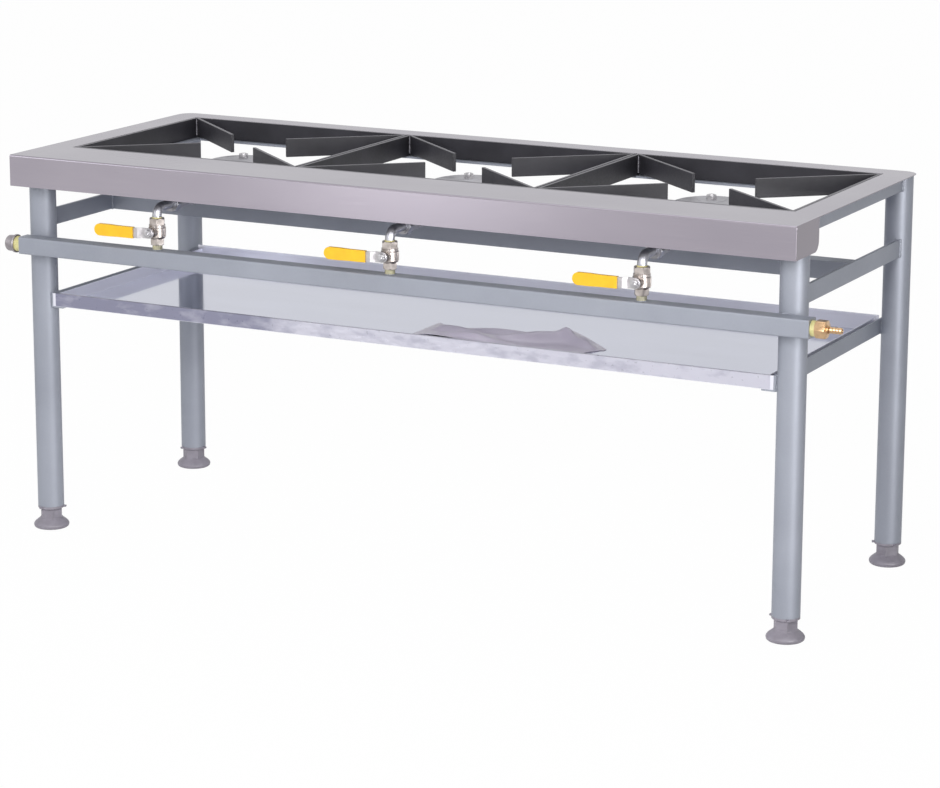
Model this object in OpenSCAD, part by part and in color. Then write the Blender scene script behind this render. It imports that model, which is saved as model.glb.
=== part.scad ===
// Three-burner gas boiling table: tube legs, stainless surround, lift-out pan supports,
// gas manifold with lever ball valves and a low tray shelf.
// Table axes: X to the right, Y to the back, Z up, floor at Z = 0.

/* [Table] */
// overall width of the stainless surround
table_width = 1200; // [1100:10:1400]
// overall depth of the stainless surround
table_depth = 470; // [440:5:560]
// height of the cooking surface above the floor
table_height = 560; // [520:5:800]

/* [Surround] */
// thickness of the stainless sheet
sheet_thickness = 1.2; // [0.8:0.1:2]
// flat in front of the pan supports
front_flange = 99; // [92:1:130]
// flat beside the pan supports
side_flange = 41.5; // [40:0.5:60]
// flat behind the pan supports
rear_flange = 35; // [33:1:60]
// drop of the front apron
apron_height = 45; // [36:1:50]
// length of the folded returns at the ends of the apron
return_length = 80; // [50:1:110]
// radius of the lower rear corner of a return
return_corner = 14; // [2:1:20]
// outside radius of the fold along the front edge
fold_radius = 2.6; // [2.2:0.1:4]
// radius of the rear corners in plan
rear_corner = 22; // [2:1:25]

/* [Legs] */
// outside diameter of the leg tubes
leg_diameter = 38.1; // [32:0.1:45]
// wall of the leg tubes
leg_wall = 1.6; // [1.2:0.1:3]
// gap between a leg and the surround's folded side
leg_side_gap = 0.3; // [0.3:0.1:8]
// distance from the back of a rear leg to the edge of the surround
leg_rear_margin = 7.2; // [2:0.2:12]

/* [Frame bars] */
// thickness of the flat bars
bar_thickness = 5; // [3:0.5:8]
// how far the lower bars stand outside the leg centres
lower_bar_offset = 6.5; // [0:0.5:9]
// height of the bars under the surround
top_bar_height = 20; // [15:1:25]
// height of the bars that carry the burners
lower_bar_height = 25; // [20:1:35]
// drop from the cooking surface to the top of the burner bar
burner_bar_drop = 89; // [86:1:110]
// leg width and height of the burner bar's angle section
burner_bar_depth = 27; // [22:1:32]
// thickness of the angle sections
angle_thickness = 3; // [2:0.5:4]
// distance from the burner bar's front face to the burner axes
burner_bar_offset = 32; // [28:1:36]

/* [Pan supports] */
// height of the pan support frames
support_height = 30; // [26:1:36]
// thickness of the pan support bars and fins
support_thickness = 5; // [3:0.5:6]
// height of the diagonal fins
fin_height = 27; // [18:1:28]
// sideways distance from a bay's centre to the fin ends
fin_end_x = 46; // [40:1:70]
// front to back distance from a bay's centre to the fin ends
fin_end_y = 45; // [38:1:70]
// gap between neighbouring pan supports and around them
support_clearance = 1.5; // [1:0.25:3]
// inward width of the ledge under the pan supports
ledge_width = 15; // [12:1:20]

/* [Shelf] */
// height of the underside of the shelf bars
shelf_height = 333.5; // [150:0.5:350]
// height of the shelf bars
shelf_bar_height = 22; // [18:1:35]
// width of the shelf bars' flat legs
shelf_bar_width = 20; // [14:1:30]
// thickness of the shelf bars
shelf_bar_thickness = 2.5; // [2:0.5:4]
// thickness of the tray sheet
tray_thickness = 1; // [0.8:0.1:1.5]
// height of the tray's front and side walls
tray_wall = 19; // [12:1:22]
// height of the tray's rear wall
tray_rear_wall = 24; // [12:1:30]
// folded hem on the tray's front and rear walls
tray_hem = 5; // [3:0.5:10]
// slot between a tray side wall and its shelf bar
tray_side_gap = 4; // [1:0.5:8]

/* [Feet] */
// diameter of a foot's flange
foot_diameter = 51.8; // [44:0.2:60]
// height of a foot below its socket
foot_height = 28; // [24:1:40]
// height of a foot's bell-shaped part
foot_bell = 15.5; // [12:0.5:17]
// size of a foot's hexagon across its flats
foot_hexagon = 29; // [22:1:32]
// diameter of a foot's screw
foot_screw = 12; // [8:1:16]
// length of screw inside the socket
foot_screw_length = 34; // [28:1:45]
// thickness of the socket collar under a leg
collar_thickness = 4.7; // [3:0.1:8]
// how far a socket's lugs stand out past the tube
collar_lug = 3.4; // [1.5:0.1:4]

/* [Gas manifold] */
// outside size of the square manifold tube
manifold_size = 25; // [22:0.5:32]
// wall of the manifold tube
manifold_wall = 2; // [1.5:0.1:3]
// length of the manifold tube
manifold_length = 1210; // [1205:1:1240]
// how far the manifold is set to the right
manifold_offset = 12; // [0:0.5:16]
// gap between the apron and the manifold
manifold_gap = 5.2; // [3:0.2:10]
// height of the nipples under the valves
nipple_height = 7.5; // [5:0.5:12]
// diameter of the blind cap's thread
cap_thread = 20.9; // [18:0.1:22]
// diameter of the hose tail's thread
inlet_thread = 17; // [14:0.1:18]
// outside diameter of the blind cap
cap_diameter = 26.6; // [25:0.1:32]
// length of the blind cap
cap_length = 16; // [12:0.5:20]
// length of taped thread beside the blind cap
cap_tape = 10.5; // [4:0.5:14]
// largest diameter on the barbs of the hose tail
barb_diameter = 9; // [7:0.1:10]
// smallest diameter between the barbs
barb_root = 7.4; // [6:0.1:8]
// spacing of the barbs
barb_pitch = 4.2; // [3.5:0.1:5]

/* [Valves] */
// length of a valve from end to end
valve_length = 38; // [38:0.5:46]
// diameter of a valve's barrel
valve_barrel = 24.6; // [23:0.1:28]
// hexagon of a valve's ends across the flats
valve_hexagon = 18; // [17:0.5:20]
// how far the valves are set to the right of the burners
valve_offset = 8; // [0:0.5:12]
// diameter of the ball
ball_diameter = 16.4; // [15:0.2:17]
// bore of the ball and the valve ports
ball_bore = 8; // [6:0.1:9]
// diameter of the valve stem
stem_diameter = 6; // [5:0.1:7]
// length of a lever from the stem to its tip
lever_length = 87; // [75:1:110]
// width of the lever blade
lever_width = 14.5; // [12:0.5:15.5]
// thickness of the lever blade
lever_thickness = 2.5; // [1.5:0.1:3]
// width of the yellow sleeve on a lever
sleeve_width = 17; // [15.6:0.1:22]
// thickness of the sleeve
sleeve_thickness = 6; // [5:0.1:8]
// length of the sleeve
sleeve_length = 64; // [50:1:70]

/* [Feed pipes] */
// outside diameter of the pipes and nipples
pipe_diameter = 13.2; // [12:0.1:14]
// bore of the pipes and nipples
pipe_bore = 8.4; // [7:0.1:9]
// centre-line radius of the pipe bends
bend_radius = 13; // [11:0.5:16]
// straight pipe between a valve and the bend
riser_length = 1.5; // [1.5:0.5:6]
// straight pipe between the bend and the hexagon
run_length = 23; // [15:1:30]
// hexagon of the injector holder across its flats
holder_hexagon = 22; // [21:0.5:26]
// length of the injector holder's hexagon
holder_length = 12; // [8:1:16]

/* [Burners] */
// height of the mixing tubes' axis above the burner bar
mixing_height = 29; // [27:0.5:31]
// outside diameter of the mixing tubes
mixing_diameter = 19; // [18:0.2:21]
// bore of the mixing tubes
mixing_bore = 14.6; // [13:0.2:16]
// outside diameter of a burner bowl's rim
bowl_diameter = 102; // [94:1:106]
// wall of the burner bowl
bowl_wall = 5; // [4:0.5:8]
// height of a bowl's rim above the burner bar
rim_height = 42; // [42:0.5:44]
// diameter of a burner cap
burner_cap_diameter = 113; // [110:1:120]
// height of a cap above the bowl's rim
burner_cap_height = 21.5; // [20:0.5:23]
// number of flame ports round a cap
port_count = 30; // [12:1:36]
// diameter of a flame port
port_diameter = 2.8; // [1.5:0.1:3.2]
// diameter of the stud that holds a cap
cap_stud = 8; // [6:1:10]

/* [Hidden] */
$fn = 48;
seat_gap = 0.3;
running_gap = 0.05;
bay_count = 3;
half_width = table_width / 2;
half_depth = table_depth / 2;
frame_top = table_height - sheet_thickness;

leg_radius = leg_diameter / 2;
leg_bore = leg_radius - leg_wall;
leg_x = half_width - sheet_thickness - leg_side_gap - leg_radius;
manifold_front = -half_depth + sheet_thickness + manifold_gap;
manifold_back = manifold_front + manifold_size;
valve_y = manifold_front + manifold_size / 2;
front_leg_y = manifold_back + leg_radius;
rear_leg_y = half_depth - leg_rear_margin - leg_radius;
leg_bottom = foot_height + seat_gap + collar_thickness;

opening_x = half_width - side_flange;
opening_front = -half_depth + front_flange;
opening_back = half_depth - rear_flange;
bay_pitch = 2 * opening_x / bay_count;
bay_x = [for (i = [0:bay_count - 1]) (i - (bay_count - 1) / 2) * bay_pitch];
burner_y = (opening_front + opening_back) / 2;

support_bottom = table_height - support_height;
ledge_top = support_bottom - seat_gap;
ledge_bottom = ledge_top - angle_thickness;

bar_top = table_height - burner_bar_drop;
bar_bottom = bar_top - lower_bar_height;
burner_bar_y = burner_y - burner_bar_offset;
top_bar_x = leg_x + bar_thickness;
lower_bar_x = leg_x + lower_bar_offset;

shelf_inset = 1;
shelf_overrun = 0.6;
tray_overrun = 0.45;
shelf_bar_x = leg_x - leg_radius + shelf_inset;
tray_floor = shelf_height + shelf_bar_thickness;
tray_x = shelf_bar_x - shelf_bar_thickness - tray_side_gap;
tray_front = front_leg_y - leg_radius * shelf_overrun;
tray_back = rear_leg_y - leg_radius * tray_overrun;
tray_ear_x = shelf_bar_x - shelf_bar_thickness - seat_gap;

pipe_z = bar_top + mixing_height;
pipe_radius = pipe_diameter / 2;
valve_top = pipe_z - bend_radius - riser_length;
valve_bottom = valve_top - valve_length;
manifold_top = valve_bottom - nipple_height;
manifold_z = manifold_top - manifold_size / 2;
thread_depth = 6.5;
bend_end_y = valve_y + bend_radius;
holder_y = bend_end_y + run_length;
mouth_y = holder_y + holder_length;

stem_z = valve_bottom + valve_length / 2;
barrel_radius = valve_barrel / 2;
ball_radius = ball_diameter / 2;
chamber_gap = 1.2;
chamber_radius = ball_radius + chamber_gap;
seat_depth = 3;
seat_share = 0.67;
seat_reach = ball_radius * seat_share;
barrel_top = valve_length / 4;
bonnet_reach = 5;
gland_reach = 7;
gland_front = barrel_radius + gland_reach;
packing_sink = 0.5;
packing_depth = 3.5;
packing_radius = stem_diameter / 2 + 2.2;
lever_back = gland_front + seat_gap;
lever_front = lever_back + lever_thickness;
lever_step = 4.5;
nut_height = 5;
nut_radius = 5.8;
stem_tip = 2;
stem_end = lever_front + nut_height + stem_tip;
stem_slot = stem_diameter * 0.4;
blade_inset = 2;
step_lead = 3;
step_run = 6;
step_start = lever_width / 2 + step_lead;
step_end = step_start + step_run;
sleeve_start = -min(lever_length, max(lever_length - sleeve_length, step_end + blade_inset));

manifold_left = manifold_offset - manifold_length / 2;
manifold_right = manifold_offset + manifold_length / 2;
thread_reach = 8;
inlet_tape = 6;
barb_count = 4;
fitting_body = 14.6;
fitting_hexagon = 22;
pipe_engagement = 5;
tail_start = manifold_right + inlet_tape + fitting_body;
tail_neck = 3;
tail_wall = 1.2;
tail_bore = barb_root / 2 - tail_wall;
tail_end = tail_start + tail_neck + barb_count * barb_pitch;

span_left = manifold_left - cap_tape - cap_length;
span_right = tail_end;
span_front = min(-half_depth, valve_y - stem_end);
span_back = half_depth;
centre_x = (span_left + span_right) / 2;
centre_y = (span_front + span_back) / 2;

steel = [0.72, 0.70, 0.74];
paint = [0.56, 0.60, 0.64];
black = [0.20, 0.20, 0.22];
cast = [0.66, 0.66, 0.67];
nickel = [0.74, 0.71, 0.68];
plated = [0.70, 0.70, 0.72];
brass = [0.80, 0.60, 0.38];
tape_colour = [0.88, 0.85, 0.52];
plastic = [0.55, 0.53, 0.57];
yellow = [0.95, 0.77, 0.10];
white = [0.93, 0.93, 0.90];

// puts the part's own centre, at floor level, on the origin
module placed() {
    translate([-centre_x, -centre_y, 0]) children();
}

// box from its lower corner to its upper corner
module block(low, high) {
    translate(low) cube(high - low);
}

// revolves a profile round the Y axis, the profile's height pointing to the back
module turned_back() {
    rotate([-90, 0, 0]) rotate_extrude($fn = 48) children();
}

// revolves a profile round the X axis, the profile's height pointing to the right
module turned_right() {
    rotate([0, 90, 0]) rotate_extrude($fn = 48) children();
}

// square with four rounded corners, centred
module rounded_square(size, radius) {
    straight = size - 2 * radius;
    square([size, straight], center = true);
    square([straight, size], center = true);
    for (sx = [-1, 1], sy = [-1, 1])
        translate([sx * straight / 2, sy * straight / 2]) circle(radius);
}

// the space that the four legs take, for the bars that are coped to them
module leg_space(radius = leg_radius) {
    for (x = [-leg_x, leg_x], y = [front_leg_y, rear_leg_y])
        translate([x, y, 0]) cylinder(h = table_height * 2, r = radius, center = true, $fn = 72);
}

// side view of the folded front: Y across, Z up
module fold_section() {
    low = table_height - apron_height;
    back = -half_depth + return_length;
    difference() {
        translate([-half_depth, low]) square([return_length, apron_height]);
        translate([-half_depth, table_height - fold_radius]) square(fold_radius);
        translate([back - return_corner, low]) square(return_corner);
    }
    translate([-half_depth + fold_radius, table_height - fold_radius]) circle(fold_radius);
    intersection() {
        translate([back - return_corner, low + return_corner]) circle(return_corner);
        translate([back - return_corner, low]) square(return_corner);
    }
}

// hollow under the fold, with the sheet's inner radius
module fold_void_section() {
    inner = fold_radius - sheet_thickness;
    front = -half_depth + sheet_thickness;
    translate([front + inner, 0]) square([return_length + 1 - inner, frame_top]);
    translate([front, 0]) square([inner, frame_top - inner]);
    translate([front + inner, frame_top - inner]) circle(inner);
}

// turns a Y-Z section into a bar along X
module along_x(length) {
    translate([-length / 2, 0, 0]) rotate([90, 0, 90]) linear_extrude(length) children();
}

module surround_plan() {
    back_straight = table_width - 2 * rear_corner;
    front = -half_depth + fold_radius;
    translate([-half_width, front]) square([table_width, table_depth - fold_radius - rear_corner]);
    translate([-back_straight / 2, half_depth - rear_corner]) square([back_straight, rear_corner]);
    for (side = [-1, 1])
        translate([side * back_straight / 2, half_depth - rear_corner]) circle(rear_corner);
}

module top_surround() {
    color(steel) placed() difference() {
        union() {
            translate([0, 0, frame_top]) linear_extrude(sheet_thickness) surround_plan();
            difference() {
                along_x(table_width) fold_section();
                along_x(table_width - 2 * sheet_thickness) fold_void_section();
            }
        }
        block([-opening_x, opening_front, frame_top - 1], [opening_x, opening_back, table_height + 1]);
    }
}

// angle frame round the opening that carries the pan supports
module support_ledges() {
    outer_x = opening_x + angle_thickness;
    outer_front = opening_front - angle_thickness;
    outer_back = opening_back + angle_thickness;
    color(paint) placed() difference() {
        union() {
            block([-outer_x, outer_front, ledge_bottom], [outer_x, outer_back, frame_top]);
            block([-top_bar_x, outer_front, frame_top - top_bar_height],
                  [top_bar_x, opening_front, frame_top]);
            block([-leg_x, opening_back, ledge_bottom], [leg_x, outer_back, frame_top]);
        }
        block([-opening_x, opening_front, ledge_top], [opening_x, opening_back, table_height]);
        block([-opening_x + ledge_width, opening_front + ledge_width, ledge_bottom - 1],
              [opening_x - ledge_width, opening_back - ledge_width, table_height]);
        leg_space();
    }
}

// painted bars under the surround, from leg to leg
module top_side_bar(side) {
    color(paint) placed() difference() {
        translate([side * (top_bar_x + bar_thickness / 2), 0, 0])
            block([-bar_thickness / 2, front_leg_y, frame_top - top_bar_height],
                  [bar_thickness / 2, rear_leg_y, frame_top]);
        leg_space();
    }
}

module top_bar_left() { top_side_bar(-1); }
module top_bar_right() { top_side_bar(1); }

module top_bar_front() {
    color(paint) placed() difference() {
        block([-leg_x, front_leg_y - bar_thickness / 2, frame_top - top_bar_height],
              [leg_x, front_leg_y + bar_thickness / 2, frame_top]);
        leg_space();
    }
}

module leg(x, y) {
    color(paint) placed() translate([x, y, leg_bottom]) difference() {
        cylinder(h = frame_top - leg_bottom, r = leg_radius, $fn = 72);
        translate([0, 0, -1]) cylinder(h = frame_top, r = leg_bore, $fn = 72);
    }
}

module leg_front_left() { leg(-leg_x, front_leg_y); }
module leg_front_right() { leg(leg_x, front_leg_y); }
module leg_rear_left() { leg(-leg_x, rear_leg_y); }
module leg_rear_right() { leg(leg_x, rear_leg_y); }

// plastic socket in a leg's end: plug, collar and three lugs
module leg_socket(turn) {
    collar_low = leg_bottom - collar_thickness;
    cone = 1.5;
    cone_margin = 2;
    lug_root = 4;
    lug_width = 5;
    lug_low = 1.8;
    lug_top_gap = 0.5;
    difference() {
        union() {
            translate([0, 0, collar_low + cone])
                cylinder(h = foot_screw_length + collar_thickness - cone, r = leg_bore, $fn = 72);
            translate([0, 0, collar_low + cone]) cylinder(h = collar_thickness - cone, r = leg_radius);
            translate([0, 0, collar_low])
                cylinder(h = cone, r1 = foot_hexagon / 2 + cone_margin, r2 = leg_radius);
            for (a = [0, 120, 240])
                rotate([0, 0, a + turn])
                    translate([leg_radius - lug_root, -lug_width / 2, collar_low + lug_low])
                        cube([lug_root + collar_lug, lug_width, collar_thickness - lug_low - lug_top_gap]);
        }
        translate([0, 0, -1]) cylinder(h = table_height, r = foot_screw / 2 + running_gap);
    }
}

module leg_sockets() {
    color(plastic) placed() {
        translate([-leg_x, front_leg_y, 0]) leg_socket(20);
        translate([leg_x, front_leg_y, 0]) leg_socket(60);
        translate([-leg_x, rear_leg_y, 0]) leg_socket(0);
        translate([leg_x, rear_leg_y, 0]) leg_socket(80);
    }
}

// adjustable foot: bell, hexagon and screw
module foot(x, y, turn) {
    rim = foot_diameter / 2;
    rim_top = 4;
    neck = foot_hexagon / 2 + 1;
    hollow = 1.4;
    steps = 12;
    color(plastic) placed() translate([x, y, 0]) {
        rotate_extrude($fn = 64) polygon(concat(
            [[0, 0], [rim - 2.4, 0], [rim - 0.7, 1.4], [rim, rim_top]],
            [for (i = [1:steps]) [neck + (rim - neck) * pow(cos(90 * i / steps), hollow),
                rim_top + (foot_bell - rim_top) * i / steps]],
            [[0, foot_bell]]));
        rotate([0, 0, turn]) cylinder(h = foot_height, r = foot_hexagon / sqrt(3), $fn = 6);
        cylinder(h = foot_height + collar_thickness + foot_screw_length, r = foot_screw / 2);
    }
}

module foot_front_left() { foot(-leg_x, front_leg_y, 10); }
module foot_front_right() { foot(leg_x, front_leg_y, 0); }
module foot_rear_left() { foot(-leg_x, rear_leg_y, 25); }
module foot_rear_right() { foot(leg_x, rear_leg_y, 40); }

module lower_bar(side) {
    color(paint) placed() difference() {
        translate([side * lower_bar_x, 0, 0])
            block([-bar_thickness / 2, front_leg_y, bar_bottom], [bar_thickness / 2, rear_leg_y, bar_top]);
        leg_space();
    }
}

module lower_bar_left() { lower_bar(-1); }
module lower_bar_right() { lower_bar(1); }

// angle section across the table that the burners stand on
module burner_bar() {
    inner = lower_bar_x - bar_thickness / 2;
    back = burner_bar_y + burner_bar_depth;
    color(paint) placed() difference() {
        block([-inner, burner_bar_y, bar_bottom], [inner, back, bar_top]);
        block([-inner - 1, burner_bar_y + angle_thickness, bar_bottom - 1],
              [inner + 1, back + 1, bar_top - angle_thickness]);
    }
}

// angle section between a front and a rear leg, its flat leg turned inward
module shelf_bar(side) {
    top = shelf_height + shelf_bar_height;
    front = front_leg_y - leg_radius * shelf_overrun;
    back = rear_leg_y + leg_radius * shelf_overrun;
    color(paint) placed() difference() {
        mirror([side < 0 ? 1 : 0, 0, 0]) {
            block([shelf_bar_x - shelf_bar_thickness, front, shelf_height], [shelf_bar_x, back, top]);
            block([shelf_bar_x - shelf_bar_width, front, shelf_height],
                  [shelf_bar_x, back, shelf_height + shelf_bar_thickness]);
        }
        leg_space();
    }
}

module shelf_bar_left() { shelf_bar(-1); }
module shelf_bar_right() { shelf_bar(1); }

// folded tray: floor, two side walls, front and rear walls with hems
module shelf_tray() {
    side_top = tray_floor + tray_wall;
    t = tray_thickness;
    color(steel) placed() {
        difference() {
            block([-tray_x, tray_front, tray_floor], [tray_x, tray_back, side_top]);
            block([-tray_x + t, tray_front + t, tray_floor + t], [tray_x - t, tray_back - t, side_top + 1]);
        }
        for (wall = [[tray_front, 1, side_top], [tray_back, -1, tray_floor + tray_rear_wall]]) {
            face = wall[0];
            inward = wall[1];
            top = wall[2];
            wall_in = face + inward * t;
            hem_in = face + inward * 2 * t;
            block([-tray_ear_x, min(face, wall_in), tray_floor], [tray_ear_x, max(face, wall_in), top]);
            block([-tray_x + 2 * t, min(face, hem_in), top - tray_hem],
                  [tray_x - 2 * t, max(face, hem_in), top]);
        }
    }
}

// square tube with closed ends, a threaded spigot at each end and three nipples
module gas_manifold() {
    inner = manifold_size - 2 * manifold_wall;
    outer_corner = 2.5;
    inner_corner = 1;
    plug_overlap = 0.5;
    color(paint) placed() difference() {
        union() {
            translate([manifold_offset, valve_y, manifold_z]) rotate([90, 0, 90])
                linear_extrude(manifold_length, center = true) difference() {
                    rounded_square(manifold_size, outer_corner);
                    rounded_square(inner, inner_corner);
                }
            for (x = [manifold_left, manifold_right - manifold_wall])
                translate([x, valve_y, manifold_z]) rotate([90, 0, 90])
                    linear_extrude(manifold_wall) rounded_square(inner + plug_overlap, inner_corner);
            translate([manifold_left - cap_tape - thread_reach, valve_y, manifold_z]) rotate([0, 90, 0])
                cylinder(h = cap_tape + thread_reach + 1, r = cap_thread / 2);
            translate([manifold_right - 1, valve_y, manifold_z]) rotate([0, 90, 0])
                cylinder(h = inlet_tape + thread_reach + 1, r = inlet_thread / 2);
            for (x = bay_x)
                translate([x + valve_offset, valve_y, manifold_top - manifold_wall / 2])
                    cylinder(h = nipple_height + thread_depth + manifold_wall / 2, r = pipe_radius);
        }
        translate([manifold_right - 1 - manifold_wall, valve_y, manifold_z]) rotate([0, 90, 0])
            cylinder(h = inlet_tape + 2 * thread_reach, r = tail_bore);
        for (x = bay_x)
            translate([x + valve_offset, valve_y, manifold_z]) cylinder(h = table_height, r = pipe_bore / 2);
    }
}

// blind cap on the manifold's left spigot
module manifold_cap() {
    start = manifold_left - cap_tape;
    radius = cap_diameter / 2;
    edge = 0.8;
    crown = 4;
    shoulder = 1.2;
    color(plated) placed() translate([start, valve_y, manifold_z]) mirror([1, 0, 0]) difference() {
        turned_right() polygon([[0, 0], [radius - edge, 0], [radius, edge], [radius, cap_length - crown],
            [radius - shoulder, cap_length - shoulder], [radius - crown, cap_length], [0, cap_length]]);
        rotate([0, 90, 0]) translate([0, 0, -1]) cylinder(h = thread_reach + 1, r = cap_thread / 2);
    }
}

// brass fitting: hexagon with turned-back corners and barbed tail
module inlet_hose_tail() {
    start = manifold_right + inlet_tape;
    crest = barb_diameter / 2;
    root = barb_root / 2;
    barbs_at = fitting_body + tail_neck;
    rise = 0.4;
    crest_end = 1.6;
    collar = 0.8;
    bevel = 2;
    face_radius = fitting_hexagon / 2 + 0.2;
    full_radius = face_radius + bevel;
    whole_length = barbs_at + barb_count * barb_pitch;
    color(brass) placed() translate([start, valve_y, manifold_z]) difference() {
        union() {
            turned_right() polygon(concat(
                [[0, fitting_body / 2], [root, fitting_body / 2], [root, barbs_at]],
                [for (i = [0:barb_count - 1])
                    for (p = [[crest, rise], [crest, crest_end], [root, barb_pitch]])
                        [p[0], barbs_at + i * barb_pitch + p[1]]],
                [[0, whole_length]]));
            rotate([0, 90, 0]) intersection() {
                cylinder(h = fitting_body, r = fitting_hexagon / sqrt(3), $fn = 6);
                union() {
                    cylinder(h = bevel, r1 = face_radius, r2 = full_radius);
                    translate([0, 0, bevel])
                        cylinder(h = fitting_body - 2 * bevel, r = full_radius);
                    translate([0, 0, fitting_body - bevel])
                        cylinder(h = bevel, r1 = full_radius, r2 = face_radius);
                }
            }
            translate([fitting_body, 0, 0]) rotate([0, 90, 0])
                cylinder(h = tail_neck, r = crest + collar);
        }
        rotate([0, 90, 0]) translate([0, 0, -1]) cylinder(h = thread_reach + 1, r = inlet_thread / 2);
        rotate([0, 90, 0]) translate([0, 0, -1]) cylinder(h = whole_length + 2, r = tail_bore);
    }
}

// seal tape that shows beside the threads
module tape_ring(length, inner, outer) {
    difference() {
        cylinder(h = length, r = outer);
        translate([0, 0, -1]) cylinder(h = length + 2, r = inner);
    }
}

module thread_tapes() {
    cap_wrap = 0.6;
    inlet_wrap = 1.9;
    nipple_wrap = 0.4;
    riser_wrap = 0.5;
    color(tape_colour) placed() {
        translate([manifold_left - cap_tape, valve_y, manifold_z]) rotate([0, 90, 0])
            tape_ring(cap_tape, cap_thread / 2, cap_thread / 2 + cap_wrap);
        translate([manifold_right, valve_y, manifold_z]) rotate([0, 90, 0])
            tape_ring(inlet_tape, inlet_thread / 2, inlet_thread / 2 + inlet_wrap);
        for (x = bay_x) {
            translate([x + valve_offset, valve_y, manifold_top])
                tape_ring(nipple_height, pipe_radius, pipe_radius + nipple_wrap);
            translate([x + valve_offset, valve_y, valve_top])
                tape_ring(riser_length, pipe_radius, pipe_radius + riser_wrap);
        }
    }
}

// places a valve piece: origin on the ball's centre, Z along the pipe, stem towards -Y
module at_valve(index) {
    placed() translate([bay_x[index - 1] + valve_offset, valve_y, stem_z]) children();
}

module valve_body(index) {
    low = -valve_length / 2;
    hex_high = valve_length / 4;
    cone_low = low + hex_high - 2;
    cone_high = low + hex_high + 2.5;
    flare = 6;
    groove = 0.8;
    groove_low = barrel_top - 4;
    bonnet_radius = stem_diameter / 2 + 4.4;
    gland_radius = stem_diameter / 2 + 3;
    color(nickel) at_valve(index) difference() {
        union() {
            translate([0, 0, low]) intersection() {
                cylinder(h = hex_high + 1, r = valve_hexagon / sqrt(3), $fn = 6);
                cylinder(h = hex_high + 1, r1 = valve_hexagon / 2 + 0.2, r2 = valve_hexagon / 2 + flare);
            }
            rotate_extrude() polygon([[0, cone_low], [valve_hexagon / 2 - 0.5, cone_low],
                [barrel_radius, cone_high], [barrel_radius, groove_low],
                [barrel_radius - groove, groove_low + 0.6], [barrel_radius - groove, barrel_top],
                [0, barrel_top]]);
            rotate([90, 0, 0]) cylinder(h = barrel_radius + bonnet_reach, r = bonnet_radius);
            rotate([90, 0, 0]) translate([0, 0, barrel_radius + bonnet_reach])
                cylinder(h = gland_reach - bonnet_reach, r = gland_radius, $fn = 6);
        }
        translate([0, 0, low - 1]) cylinder(h = thread_depth + 1, r = pipe_radius);
        translate([0, 0, low]) cylinder(h = valve_length, r = ball_bore / 2);
        translate([0, 0, -seat_reach - seat_depth])
            cylinder(h = seat_reach + seat_depth + barrel_top + 1, r = chamber_radius);
        rotate([90, 0, 0]) cylinder(h = gland_front + 1, r = stem_diameter / 2 + running_gap);
        rotate([90, 0, 0]) translate([0, 0, barrel_radius - packing_sink])
            cylinder(h = packing_depth, r = packing_radius);
    }
}

// upper end of a valve, screwed into the body above the ball
module valve_retainer(index) {
    high = valve_length / 2;
    corner_to_corner = (valve_hexagon + 2.5) * 2 / sqrt(3);
    end_radius = valve_hexagon / 2 + 1.4;
    flare = 6;
    color(nickel) at_valve(index) difference() {
        union() {
            translate([0, 0, barrel_top]) intersection() {
                cylinder(h = high - barrel_top, d = corner_to_corner, $fn = 6);
                cylinder(h = high - barrel_top, r1 = barrel_radius + flare, r2 = end_radius);
            }
            translate([0, 0, seat_reach + seat_depth])
                cylinder(h = barrel_top - seat_reach - seat_depth, r = chamber_radius);
        }
        translate([0, 0, high - thread_depth]) cylinder(h = thread_depth + 1, r = pipe_radius);
        cylinder(h = high, r = ball_bore / 2);
    }
}

// seat rings below and above the balls, and the stem packings
module valve_seals() {
    color(white) for (index = [1:bay_count]) at_valve(index) {
        for (side = [0, 1]) mirror([0, 0, side]) difference() {
            translate([0, 0, seat_reach]) cylinder(h = seat_depth, r = chamber_radius);
            cylinder(h = seat_reach + seat_depth + 1, r = ball_bore / 2);
            sphere(ball_radius + seat_gap, $fn = 64);
        }
        rotate([90, 0, 0]) translate([0, 0, barrel_radius - packing_sink]) difference() {
            cylinder(h = packing_depth, r = packing_radius);
            translate([0, 0, -1]) cylinder(h = packing_depth + 2, r = stem_diameter / 2 + running_gap);
        }
    }
}

module valve_body_1() { valve_body(1); }
module valve_body_2() { valve_body(2); }
module valve_body_3() { valve_body(3); }
module valve_retainer_1() { valve_retainer(1); }
module valve_retainer_2() { valve_retainer(2); }
module valve_retainer_3() { valve_retainer(3); }

// ball at rest with its bore across the pipe, so the valve is shut
module valve_ball(index) {
    slot_depth = 2;
    color(plated) at_valve(index) difference() {
        rotate([0, 90, 0]) sphere(ball_radius, $fn = 64);
        rotate([0, 90, 0]) cylinder(h = ball_diameter * 2, r = ball_bore / 2, center = true);
        translate([-ball_radius, -ball_radius - 1, -stem_slot / 2])
            cube([ball_diameter, slot_depth + 1, stem_slot]);
    }
}

module valve_ball_1() { valve_ball(1); }
module valve_ball_2() { valve_ball(2); }
module valve_ball_3() { valve_ball(3); }

// stem with its tang in the ball's slot and the nut that holds the lever
module valve_stem(index) {
    tang_gap = 0.1;
    tang = stem_slot - tang_gap;
    tang_inset = 0.3;
    tang_length = 2.2;
    shaft_start = ball_radius + tang_gap;
    radius = stem_diameter / 2;
    color(nickel) at_valve(index) {
        translate([-radius + tang_inset, -ball_radius - tang_inset, -tang / 2])
            cube([stem_diameter - 2 * tang_inset, tang_length, tang]);
        rotate([90, 0, 0]) translate([0, 0, shaft_start]) cylinder(h = stem_end - shaft_start, r = radius);
        rotate([90, 0, 0]) translate([0, 0, lever_front]) cylinder(h = nut_height, r = nut_radius, $fn = 6);
    }
}

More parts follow.
